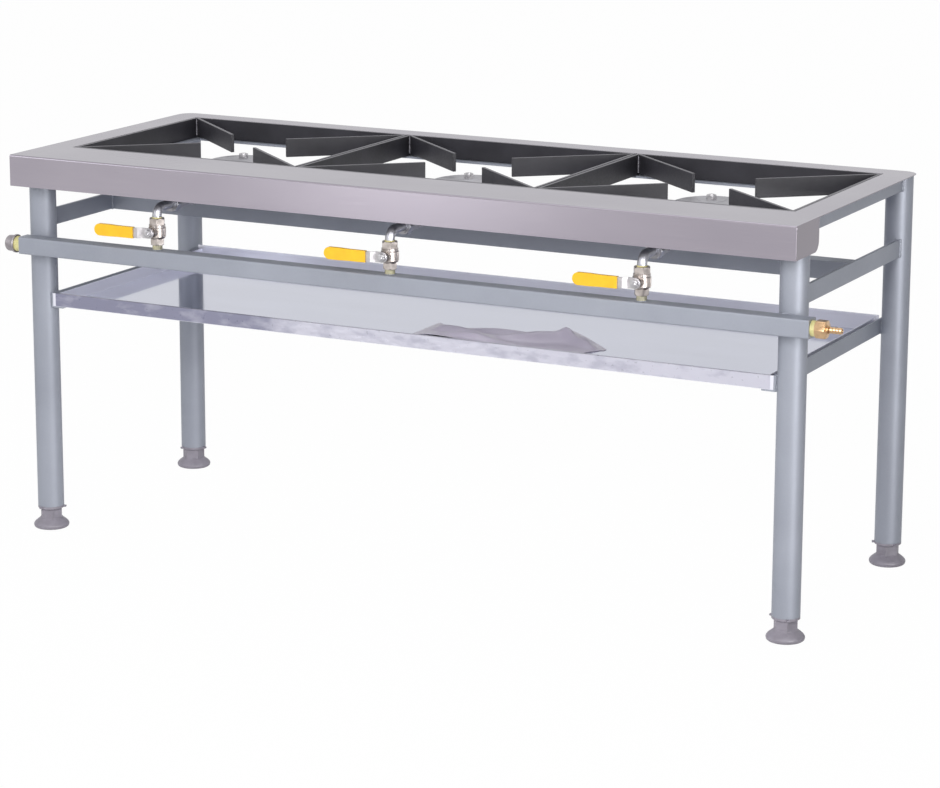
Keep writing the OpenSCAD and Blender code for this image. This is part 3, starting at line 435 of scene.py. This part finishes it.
# the tapes on the nipples are coloured darker and greyer than the other tapes
darkerNippleTape = makeMouldedPlastic("darkerGreyThreadTape", "c9c49c", "9f9c8d", 0.45, 0.2, 1.6)
print("materials made")

# Top surround: the folded sheet keeps the CAD form, with its cut edges softened

dressed("top_surround", "surroundSheet", "table", surroundSteel, 0.35)
print("surround made")

# Frame: bars, legs and gas tube with softened edges


def camelName(node):
    words = node.split("_")
    return words[0] + "".join(word.title() for word in words[1:])


frameEdges = {"bar": 0.7, "tube": 0.3}
for node in ("top_bar_left", "top_bar_right", "top_bar_front", "support_ledges", "lower_bar_left",
             "lower_bar_right", "burner_bar", "shelf_bar_left", "shelf_bar_right"):
    dressed(node, camelName(node), "table", framePaint, frameEdges["bar"])
for node in ("leg_front_left", "leg_front_right", "leg_rear_left", "leg_rear_right", "gas_manifold"):
    dressed(node, camelName(node), "table", framePaint, frameEdges["tube"])
print("frame made")

# Welds: a bead is a row of overlapping drops, melted together

weld = {"radius": 2.3, "step": 1.6, "uneven": 0.12, "voxel": 0.45, "squash": 0.75, "shelfShare": 0.34,
        "tubeRadius": 1.3, "tubeHalf": 7, "nippleRadius": 1.0, "nippleRing": 7.0, "nippleLift": 0.3}
drop = added(bpy.ops.mesh.primitive_ico_sphere_add, subdivisions=2, radius=1.0)
bpy.ops.object.mode_set(mode="EDIT")
bpy.ops.transform.resize(value=(1, 1, weld["squash"]))
objectMode()
settled(drop)
legRadius = (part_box("leg_front_left")[1].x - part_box("leg_front_left")[0].x) / 2


# a drop of a slightly uneven size, set on its place by a matrix
def placedDrop(matrix, radius):
    size = radius * mm * random.uniform(1 - weld["uneven"], 1 + weld["uneven"])
    piece = copied(drop)
    piece.data.transform(matrix @ Matrix.Diagonal((size, size, size, 1)))
    return piece


# drops along a straight bead from start to end
def beadAlong(start, end, radius=weld["radius"]):
    start, end = Vector(start), Vector(end)
    count = max(3, int((end - start).length / (weld["step"] * mm)))
    aim = (end - start).to_track_quat("Z", "Y").to_matrix().to_4x4()
    return [placedDrop(Matrix.Translation(start.lerp(end, i / count)) @ aim, radius) for i in range(count + 1)]


# drops round a vertical pipe
def beadRound(centre, ringRadius, radius):
    count = int(2 * math.pi * ringRadius / (weld["step"] * mm))
    drops = []
    for i in range(count):
        angle = 2 * math.pi * i / count
        place = Vector(centre) + Vector((math.cos(angle), math.sin(angle), 0)) * ringRadius
        drops.append(placedDrop(Matrix.Translation(place), radius))
    return drops


# upright beads where a bar's two faces meet a leg; along is the axis that the bar runs on
def barToLeg(bar, leg, along):
    barLow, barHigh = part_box(bar)
    centre = nodeMiddle(leg)
    across = 1 - along
    inward = 1 if nodeMiddle(bar)[along] > centre[along] else -1
    drops = []
    for face in (barLow[across], barHigh[across]):
        sideways = face - centre[across]
        place = [0, 0]
        place[across] = face
        place[along] = centre[along] + inward * math.sqrt(max(legRadius ** 2 - sideways ** 2, 0))
        drops += beadAlong((*place, barLow.z + mm), (*place, barHigh.z - mm))
    return drops


def meltWelds(drops, name, body, material):
    piece = joined(drops)
    applied(piece, "REMESH", mode="VOXEL", voxel_size=weld["voxel"] * mm)
    applied(piece, "SMOOTH", factor=0.5, iterations=2)
    return finished(piece, name, body, material, (), 80)


random.seed(7)
drops = []
for side in ("left", "right"):
    for end in ("front", "rear"):
        leg = f"leg_{end}_{side}"
        centre = nodeMiddle(leg)
        for bar in ("top_bar_" + side, "lower_bar_" + side):
            drops += barToLeg(bar, leg, 1)
        barLow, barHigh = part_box("shelf_bar_" + side)
        face = barHigh.x if side == "right" else barLow.x
        for way in (-1, 1):
            place = (face, centre.y + way * legRadius * weld["shelfShare"])
            drops += beadAlong((*place, barLow.z + mm), (*place, barHigh.z - mm))
    drops += barToLeg("top_bar_front", "leg_front_" + side, 0)
    barLow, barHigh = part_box("burner_bar")
    face = barHigh.x if side == "right" else barLow.x
    drops += beadAlong((face, barLow.y, barLow.z + mm), (face, barLow.y, barHigh.z - mm))
    centre = nodeMiddle("leg_front_" + side)
    tubeBack = centre.y - legRadius
    for height in (tubeTop, tubeBottom):
        drops += beadAlong((centre.x - weld["tubeHalf"] * mm, tubeBack, height),
                           (centre.x + weld["tubeHalf"] * mm, tubeBack, height), weld["tubeRadius"])
meltWelds(drops, "frameWelds", "table", framePaint)

drops = []
for i in (1, 2, 3):
    centre = nodeMiddle(f"valve_ball_{i}")
    drops += beadRound((centre.x, centre.y, tubeTop + weld["nippleLift"] * mm), weld["nippleRing"] * mm,
                       weld["nippleRadius"])
meltWelds(drops, "nippleWelds", "table", framePaint)

# where a pan support's fins meet its frame; the tips are measured from the support's middle
finRoot = {"barThickness": 5.0, "finHalf": 2.5, "tipX": 46.0, "tipY": 45.0, "top": 2, "drop": 26.0,
           "radius": 1.7}
for i in (1, 2, 3):
    low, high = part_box(f"pan_support_{i}")
    centre = (low + high) / 2
    drops = []
    for cornerX, wayX in ((low.x, 1), (high.x, -1)):
        for cornerY, wayY in ((low.y, 1), (high.y, -1)):
            corner = Vector((cornerX + wayX * finRoot["barThickness"] * mm,
                             cornerY + wayY * finRoot["barThickness"] * mm, 0))
            tip = Vector((centre.x - wayX * finRoot["tipX"] * mm, centre.y - wayY * finRoot["tipY"] * mm, 0))
            aim = (tip - corner).normalized()
            for side in (1, -1):
                out = Vector((-aim.y, aim.x, 0)) * side * finRoot["finHalf"] * mm
                reach = max(-out.x / aim.x, -out.y / aim.y, 0)
                place = corner + aim * reach + out
                drops += beadAlong((place.x, place.y, high.z - finRoot["top"] * mm),
                                   (place.x, place.y, high.z - finRoot["drop"] * mm), finRoot["radius"])
    meltWelds(drops, f"supportWelds{i}", f"support_{i}", barePaintedWeld)
bpy.data.objects.remove(drop)
print("welds made")

# Shelf tray: the folded sheet, the wrinkled film stuck on its front wall and a loose fold of it on the floor

tray = dressed("shelf_tray", "shelfTray", "table", traySteel, 0.25, 2, 20)
# the side walls spring inwards from the bars, and their folds and ends stay
sideWalls = {"lean": 3.2, "above": 8, "reach": 5.5, "endMargin": 0.8}
for vertex in tray.data.vertices:
    fromEnds = min(vertex.co.y - trayLow.y, trayHigh.y - vertex.co.y)
    fromSides = min(vertex.co.x - trayLow.x, trayHigh.x - vertex.co.x)
    if (fromEnds > sideWalls["endMargin"] * mm and fromSides < sideWalls["reach"] * mm
            and vertex.co.z > trayLow.z + sideWalls["above"] * mm):
        vertex.co.x += sideWalls["lean"] * mm * (1 if vertex.co.x < 0 else -1)


# a value that climbs from 0 to 1 between two places
def climbed(value, start, end):
    share = min(max((value - start) / (end - start), 0), 1)
    return share * share * (3 - 2 * share)


# a flat grid of unit size whose corners lie at 0 and 1
def unitGrid(columns, rows):
    piece = added(bpy.ops.mesh.primitive_grid_add, x_subdivisions=columns, y_subdivisions=rows, size=1,
                  location=(0.5, 0.5, 0))
    return settled(piece)


# waves over a sheet; grain is their size along and across in millimetres, and which layer of noise they are
def waved(along, across, grain):
    return noise.noise(Vector((along / grain[0], across / grain[1], grain[2])))


film = {"inset": 5, "low": 0.6, "overTop": 3.5, "lift": 0.28, "thickness": 0.1, "columns": 420, "rows": 12,
        "calmWave": 0.14, "crumpledWave": 0.5, "crumpled": (-210, -170, 250, 310), "frontTop": 19,
        "fineGrain": (7, 4.5, 1.7), "broadGrain": (26, 11, 6.3), "creaseGrain": (15, 6, 12.1),
        "even": 0.9, "fine": 0.8, "broad": 0.6, "crease": 0.7, "foldLift": 0.15}
trayWidth = (trayHigh.x - trayLow.x) / mm
wallRun = film["frontTop"] - film["low"] + film["overTop"]
wallFilmPiece = unitGrid(film["columns"], film["rows"])
for vertex in wallFilmPiece.data.vertices:
    along = vertex.co.x * (trayWidth - 2 * film["inset"]) + film["inset"]
    up = vertex.co.y * wallRun + film["low"]
    middleX = along - trayWidth / 2
    rough = climbed(middleX, *film["crumpled"][:2]) * (1 - climbed(middleX, *film["crumpled"][2:]))
    strength = film["calmWave"] + (film["crumpledWave"] - film["calmWave"]) * rough
    fine = waved(along, up, film["fineGrain"])
    broad = waved(along, up, film["broadGrain"])
    crease = 1 - abs(waved(along, up, film["creaseGrain"])) * 2.2
    bulge = film["lift"] + strength * (film["even"] + film["fine"] * fine + film["broad"] * broad
                                       + film["crease"] * crease * rough)
    place = Vector((trayLow.x / mm + along, trayLow.y / mm - bulge, trayLow.z / mm + up))
    if up > film["frontTop"]:  # the part that is folded over the wall's top edge
        place.y = trayLow.y / mm - bulge + (up - film["frontTop"])
        place.z = trayLow.z / mm + film["frontTop"] + film["foldLift"] + 0.3 * bulge
    vertex.co = place * mm
applied(wallFilmPiece, "SOLIDIFY", thickness=film["thickness"] * mm, offset=1)
finished(cleaned(wallFilmPiece), "trayWallFilm", "table", wallFilm, (), 50)

# places on the loose fold are in millimetres from the tray's middle and front wall; back is its back edge, and
# a ridge has the middle of its crest, the crest's slope over the floor, its half width and its height
looseFold = {"columns": 120, "rows": 40, "start": -8, "end": 272, "front": 5, "thickness": 0.14, "above": 0.4,
             "tunnel": (2, 20, 96, 118), "tunnelBack": 42, "tunnelRise": 1.4, "tunnelEdge": 0.1,
             "tipFrom": 218, "tipRise": 96, "swell": 1.6, "swellGrain": (120, 50, 3.1), "ridgeHalf": 62,
             "edgeShare": 0.12,
             "back": ((-8, 156), (6, 146), (24, 124), (40, 130), (60, 152), (98, 150), (132, 150), (151, 174),
                      (173, 202), (195, 184), (218, 164), (244, 138), (272, 110)),
             "ridges": ((40, 104, -0.16, 8, 9), (80, 66, 0.06, 11, 10), (110, 126, 0.05, 9, 7),
                        (166, 112, 0.5, 12, 13), (226, 118, -0.55, 8, 10), (140, 40, 0.05, 8, 8),
                        (30, 44, 0.05, 8, 7))}


# how far the back edge lies from the front wall at a place along the tray
def foldReach(x):
    for (x0, y0), (x1, y1) in zip(looseFold["back"], looseFold["back"][1:]):
        if x <= x1:
            return y0 + (y1 - y0) * (x - x0) / (x1 - x0)
    return looseFold["back"][-1][1]


loose = unitGrid(looseFold["columns"], looseFold["rows"])
floorTop = trayLow.z / mm + 1  # the sheet is 1 mm thick
for vertex in loose.data.vertices:
    x = looseFold["start"] + vertex.co.x * (looseFold["end"] - looseFold["start"])
    # the front edge is lifted and drawn back along the tunnel
    tunnel = climbed(x, *looseFold["tunnel"][:2]) * (1 - climbed(x, *looseFold["tunnel"][2:]))
    front = looseFold["front"] + looseFold["tunnelBack"] * tunnel
    front += looseFold["tipRise"] * climbed(x, looseFold["tipFrom"], looseFold["end"])
    y = front + vertex.co.y * (foldReach(x) - front)
    rise = looseFold["swell"] * (0.5 + waved(x, y, looseFold["swellGrain"]))
    for middle, across, slope, width, height in looseFold["ridges"]:
        offLine = (y - across - slope * (x - middle)) / width
        offEnd = (x - middle) / looseFold["ridgeHalf"]
        rise += height * math.exp(-offLine * offLine - offEnd * offEnd)
    edge = min(vertex.co.y + looseFold["tunnelEdge"] * tunnel, 1 - vertex.co.y, vertex.co.x, 1 - vertex.co.x)
    rise += looseFold["tunnelRise"] * tunnel * (1 - vertex.co.y)
    rise *= climbed(edge, 0, looseFold["edgeShare"])
    vertex.co = Vector(((trayLow.x + trayHigh.x) / 2 / mm + x, trayLow.y / mm + y,
                        floorTop + looseFold["above"] + rise)) * mm
applied(loose, "SOLIDIFY", thickness=looseFold["thickness"] * mm, offset=1)
finished(cleaned(loose), "trayLooseFilm", "table", looseFilm, (), 50)
print("tray made")

# Feet and sockets: moulded plastic with softened edges

for corner in ("front_left", "front_right", "rear_left", "rear_right"):
    dressed("foot_" + corner, "foot" + corner.title().replace("_", ""), "foot_" + corner, footPlastic,
            0.5, 3)
dressed("leg_sockets", "legSockets", "table", footPlastic, 0.5)
print("feet made")

# Ends of the gas tube: banded blind cap, brass hose tail and their seal tape

blindCap = {"band": ((10.6, 0), (12.9, 0), (13.3, 0.5), (13.3, 3.0), (12.9, 3.6), (12.1, 4.4)),
            "shell": ((11.7, 5.4), (11.6, 12.0), (11.2, 13.8), (10.0, 15.2), (8.2, 15.9), (0, 16.0))}
cap = pointed(turned(inMetres(blindCap["band"] + blindCap["shell"]), 64), (-1, 0, 0),
              (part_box("manifold_cap")[1].x, tubeMiddle.y, tubeMiddle.z))
finished(cap, "blindCap", "table", capSteel, ("manifold_cap",), 40)

hoseTail = {"hexagon": 22, "body": 14.6, "chamfer": 2.4, "turn": 30, "neck": 5.3, "neckEnd": 17.6,
            "crest": 4.5, "root": 3.7, "pitch": 4.2, "barbs": 4, "bore": 2.5, "boreDepth": 14}
profile = [(hoseTail["neck"] + 1.4, hoseTail["body"] - 0.5), (hoseTail["neck"] + 1.4, hoseTail["body"] + 0.6),
           (hoseTail["neck"], hoseTail["body"] + 1.1), (hoseTail["neck"], hoseTail["neckEnd"] - 0.5),
           (hoseTail["root"], hoseTail["neckEnd"])]
for i in range(hoseTail["barbs"]):
    start = hoseTail["neckEnd"] + i * hoseTail["pitch"]
    profile += [(hoseTail["crest"] - 0.15, start + 0.4), (hoseTail["crest"], start + 0.7),
                (hoseTail["crest"], start + 1.5), (hoseTail["root"], start + hoseTail["pitch"] - 0.02)]
tailEnd = hoseTail["neckEnd"] + hoseTail["barbs"] * hoseTail["pitch"]
profile += [(hoseTail["bore"] + 0.2, tailEnd), (hoseTail["bore"], tailEnd - 0.3),
            (hoseTail["bore"], tailEnd - hoseTail["boreDepth"]), (0, tailEnd - hoseTail["boreDepth"])]
stem = turned(inMetres(profile), 48)
head = hexagonNut(hoseTail["hexagon"] * mm, 0, hoseTail["body"] * mm, hoseTail["chamfer"] * mm,
                  math.radians(hoseTail["turn"]))
rounded(head, 0.25 * mm, 2)
tail = pointed(joined([head, stem]), (1, 0, 0), (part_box("inlet_hose_tail")[0].x, tubeMiddle.y, tubeMiddle.z))
finished(tail, "hoseTail", "table", turnedBrass, ("inlet_hose_tail",), 32)

tape = {"turnWidth": 1.9, "step": 0.16, "fray": 0.14, "frayGrain": 700, "capLength": 10.5, "capRadius": 11.05,
        "inletLength": 6, "inletRadius": 10.4, "nippleRadius": 7.0, "topRadius": 7.15}
tapesLow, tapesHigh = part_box("thread_tapes")


# seal tape wound on a thread: overlapping turns with slightly frayed, uneven edges
def woundTape(radius, length, seed):
    turns = max(1, round(length / tape["turnWidth"]))
    profile = [(radius * 0.6, 0)]
    for i in range(turns):
        low, high = length * i / turns, length * (i + 1) / turns
        profile += [(radius - tape["step"], low + 0.02), (radius, low + 0.3), (radius, high - 0.25)]
    profile += [(radius - tape["step"], length), (0, length)]
    piece = turned(inMetres(profile), 56)
    for vertex in piece.data.vertices:
        out = math.hypot(vertex.co.x, vertex.co.y)
        if out > radius * 0.9 * mm:
            shift = tape["fray"] * noise.noise(vertex.co * tape["frayGrain"] + Vector((seed, seed, seed)))
            vertex.co.x *= 1 + shift * mm / out
            vertex.co.y *= 1 + shift * mm / out
    return piece


yellowTapes = [pointed(woundTape(tape["capRadius"], tape["capLength"], 1), (1, 0, 0),
                       (tapesLow.x, tubeMiddle.y, tubeMiddle.z)),
               pointed(woundTape(tape["inletRadius"], tape["inletLength"], 2), (1, 0, 0),
                       (tapesHigh.x - tape["inletLength"] * mm, tubeMiddle.y, tubeMiddle.z))]
nippleTapePieces = []
for i in (1, 2, 3):
    centre = nodeMiddle(f"valve_retainer_{i}")
    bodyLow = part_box(f"valve_body_{i}")[0].z
    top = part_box(f"valve_retainer_{i}")[1].z
    nipple = bodyLow - tubeTop
    nippleTapePieces.append(pointed(woundTape(tape["nippleRadius"], nipple / mm, 2 + i), (0, 0, 1),
                             (centre.x, centre.y, tubeTop)))
    yellowTapes.append(pointed(woundTape(tape["topRadius"], (tapesHigh.z - top) / mm, 6 + i), (0, 0, 1),
                               (centre.x, centre.y, top)))
finished(joined(yellowTapes), "threadTapes", "table", tapeFilm, ("thread_tapes",), 50)
finished(joined(nippleTapePieces), "nippleTapes", "table", darkerNippleTape, (), 50)
dressed("valve_seals", "valveSeals", "table", sealPlastic, 0)
print("gas tube ends made")

# Valves: forged bodies with a parting line, packing nut and stop lug; pressed levers with dipped sleeves

forging = {"partingWidth": 0.9, "partingOut": 0.35, "partingLow": -9, "partingHigh": 5, "barrel": 12.3,
           "lugSize": (3.2, 3.4, 4.0), "lugPlace": (6.2, -15.2, 8.6)}
stemParts = {"radius": 3, "start": 8.5, "end": 29.1, "endChamfer": 0.6, "leverFront": 22.1,
             "washerRadius": 6.6, "washerHeight": 0.9, "nut": 10, "nutHeight": 5, "nutChamfer": 0.7,
             "nutTurn": 12}


# a block of a size in millimetres, placed from the middle of the valve's lever
def blockAt(hub, place, size):
    block = added(bpy.ops.mesh.primitive_cube_add, size=mm, location=hub + Vector(place) * mm)
    block.scale = size
    return settled(block)


# the parting line on both sides of a valve's barrel and the lug that stops its lever
def forgingMarks(hub):
    low, high = forging["partingLow"], forging["partingHigh"]
    partingSize = (forging["partingOut"] * 2, forging["partingWidth"], high - low)
    marks = [blockAt(hub, (side * forging["barrel"], 0, (low + high) / 2), partingSize) for side in (-1, 1)]
    marks.append(blockAt(hub, forging["lugPlace"], forging["lugSize"]))
    return rounded(joined(marks), 0.3 * mm, 3)


# the rod that turns the ball, with the lever's washer and nut on its end
def leverStem(hub):
    radius, start, end = stemParts["radius"], stemParts["start"], stemParts["end"]
    chamfer = stemParts["endChamfer"]
    rod = turned(inMetres([(0, start), (radius, start), (radius, end - chamfer), (radius - chamfer, end),
                           (0, end)]), 36)
    front, rim = stemParts["leverFront"], stemParts["washerRadius"]
    back = front + stemParts["washerHeight"]
    washer = turned(inMetres([(radius, front), (rim - 0.15, front), (rim, front + 0.2), (rim, front + 0.7),
                              (rim - 0.2, back), (radius, back)]), 40)
    nut = hexagonNut(stemParts["nut"] * mm, back * mm, (front + stemParts["nutHeight"]) * mm,
                     stemParts["nutChamfer"] * mm, math.radians(stemParts["nutTurn"]))
    rounded(nut, 0.2 * mm, 2)
    return pointed(joined([rod, washer, nut]), (0, -1, 0), hub)


for i in (1, 2, 3):
    centre = nodeMiddle(f"valve_retainer_{i}")
    hub = Vector((centre.x, centre.y, nodeMiddle(f"lever_blade_{i}").z))
    lever = f"valve_lever_{i}"
    dressed(f"valve_body_{i}", f"valveBody{i}", "table", nickelPlate, 0.45, 3)
    dressed(f"valve_retainer_{i}", f"valveRetainer{i}", "table", nickelPlate, 0.4, 3)
    finished(forgingMarks(hub), f"valveForgingMarks{i}", "table", nickelPlate)
    finished(leverStem(hub), f"valveStem{i}", lever, zincPlate, (f"valve_stem_{i}",), 35)
    dressed(f"valve_ball_{i}", f"valveBall{i}", lever, polishedBall, 0.2)
    dressed(f"lever_blade_{i}", f"leverBlade{i}", lever, leverSteel, 0.4, 3)
    dressed(f"lever_sleeve_{i}", f"leverSleeve{i}", lever, sleeveVinyl, 2.1, 5)
print("valves made")

# Feed pipes, injector holders and burners

for i in (1, 2, 3):
    dressed(f"feed_pipe_{i}", f"feedPipe{i}", "table", pipeSteel, 0.2)
    dressed(f"injector_holder_{i}", f"injectorHolder{i}", "table", pipeSteel, 0.35, 3)
    dressed(f"burner_body_{i}", f"burnerBody{i}", "table", castSilver, 0.8, 3)
    dressed(f"burner_cap_{i}", f"burnerCap{i}", "table", castSilver, 0.35, 3)
dressed("burner_cap_studs", "capStuds", "table", zincPlate, 0.35, 3)
print("burners made")

# Pan supports

for i in (1, 2, 3):
    dressed(f"pan_support_{i}", f"panSupport{i}", f"support_{i}", blackPaint, 0.7, 3)
print("pan supports made")

# Stage: pale floor, white backdrop, soft lamps and the camera

stage = {"floorSize": 12.0, "floorPlace": (0, 2.0, -0.0005), "floorColour": "f6f6f6", "floorGlow": 0.985}


# 1 for what the camera sees, also in a mirror or through glass, and 0 for the light that falls on the table
def seenShare(tree):
    path = addNode(tree, "LightPath")
    seen = addNode(tree, "Math", {"operation": "MAXIMUM"}, {0: path.outputs["Is Camera Ray"],
                                                            1: path.outputs["Is Glossy Ray"]})
    return addNode(tree, "Math", {"operation": "MAXIMUM"}, {0: seen.outputs[0],
                                                            1: path.outputs["Is Transmission Ray"]}).outputs[0]


# matt paper that the camera and the metal see as white, and that still takes the table's shadow
def makeStagePaper(name, shade):
    material = bpy.data.materials.new(name)
    material.use_nodes = True
    tree = material.node_tree
    tree.nodes.clear()
    paper = addNode(tree, "BsdfPrincipled", inputs={"Base Color": hexColour(stage["floorColour"]),
                                                    "Roughness": 0.9, "Specular IOR Level": 0.1})
    glow = addNode(tree, "Emission", inputs={"Color": (1, 1, 1, 1), "Strength": 1.0})
    share = addNode(tree, "Math", {"operation": "MULTIPLY"}, {0: seenShare(tree), 1: shade})
    mix = addNode(tree, "MixShader", None, {0: share.outputs[0], 1: paper.outputs[0], 2: glow.outputs[0]})
    addNode(tree, "OutputMaterial", inputs={"Surface": mix.outputs[0]})
    return material


floorPaper = makeStagePaper("whiteFloorPaper", stage["floorGlow"])
floor = added(bpy.ops.mesh.primitive_plane_add, size=stage["floorSize"], location=stage["floorPlace"])
settled(floor)
floor.name = "floor"
floor.data.materials.append(floorPaper)

world = bpy.data.worlds.new("softRoom")
bpy.context.scene.world = world
world.use_nodes = True
tree = world.node_tree
tree.nodes.clear()
room = addNode(tree, "Background", inputs={"Color": (0.94, 0.96, 1.0, 1), "Strength": 0.3})
white = addNode(tree, "Background", inputs={"Color": (1, 1, 1, 1), "Strength": 1.0})
mix = addNode(tree, "MixShader", None, {0: seenShare(tree), 1: room.outputs[0], 2: white.outputs[0]})
addNode(tree, "OutputWorld", inputs={"Surface": mix.outputs[0]})


# an area lamp that faces its target; size in metres, power in watts
def addLamp(name, place, target, size, power, colour):
    lamp = bpy.data.lights.new(name, "AREA")
    lamp.shape = "RECTANGLE"
    lamp.size, lamp.size_y = size
    lamp.energy = power
    lamp.color = colour
    obj = bpy.data.objects.new(name, lamp)
    obj.location = place
    obj.rotation_euler = (Vector(target) - Vector(place)).to_track_quat("-Z", "Y").to_euler()
    bpy.context.collection.objects.link(obj)
    return obj


addLamp("keyLamp", (0.75, -2.9, 1.7), (0, 0, 0.35), (1.0, 1.4), 62, (1.0, 0.99, 0.98))
addLamp("leftLamp", (-2.5, -2.2, 1.5), (0, 0, 0.35), (1.4, 1.4), 12, (0.96, 0.98, 1.0))
addLamp("topLamp", (-0.3, 0.2, 3.2), (0, 0, 0.5), (2.4, 1.6), 14, (1, 1, 1))
apronLamp = addLamp("apronLamp", (-1.22, -2.6, 0.3), (0.05, -0.2, 0.5), (0.4, 0.5), 1.5, (1, 1, 1))
stripLamp = addLamp("stripLamp", (2.6, -1.5, 0.7), (0, 0, 0.3), (1.1, 2.0), 112, (1, 1, 1))
for lamp in (apronLamp, stripLamp):
    lamp.visible_diffuse = False  # only a sheen on the apron and the round legs, not their colour

# the camera was solved from the photograph's edges: focal length and centre are in its pixels, its place in
# millimetres from the surround's middle on the floor, and its turns in radians
view = {"width": 940, "focal": 3090.2, "centreDrop": -54, "place": (1974.6, -3816.8, 1262.9), "yaw": 0.47343,
        "pitch": 0.21926, "roll": 0.0031, "sensor": 36}
camera = bpy.data.cameras.new("photoCamera")
cameraObject = bpy.data.objects.new("photoCamera", camera)
bpy.context.collection.objects.link(cameraObject)
camera.sensor_width = view["sensor"]
camera.lens = view["focal"] / view["width"] * view["sensor"]
camera.shift_y = view["centreDrop"] / view["width"]
aim = (Matrix.Rotation(view["yaw"], 4, "Z") @ Matrix.Rotation(math.pi / 2 - view["pitch"], 4, "X")
       @ Matrix.Rotation(view["roll"], 4, "Z"))
surroundMiddle = nodeMiddle("top_surround")
where = Vector(view["place"]) * mm + Vector((surroundMiddle.x, surroundMiddle.y, 0))
cameraObject.matrix_world = Matrix.Translation(where) @ aim
bpy.context.scene.camera = cameraObject
bpy.context.scene.view_settings.view_transform = "Standard"
print("stage set")
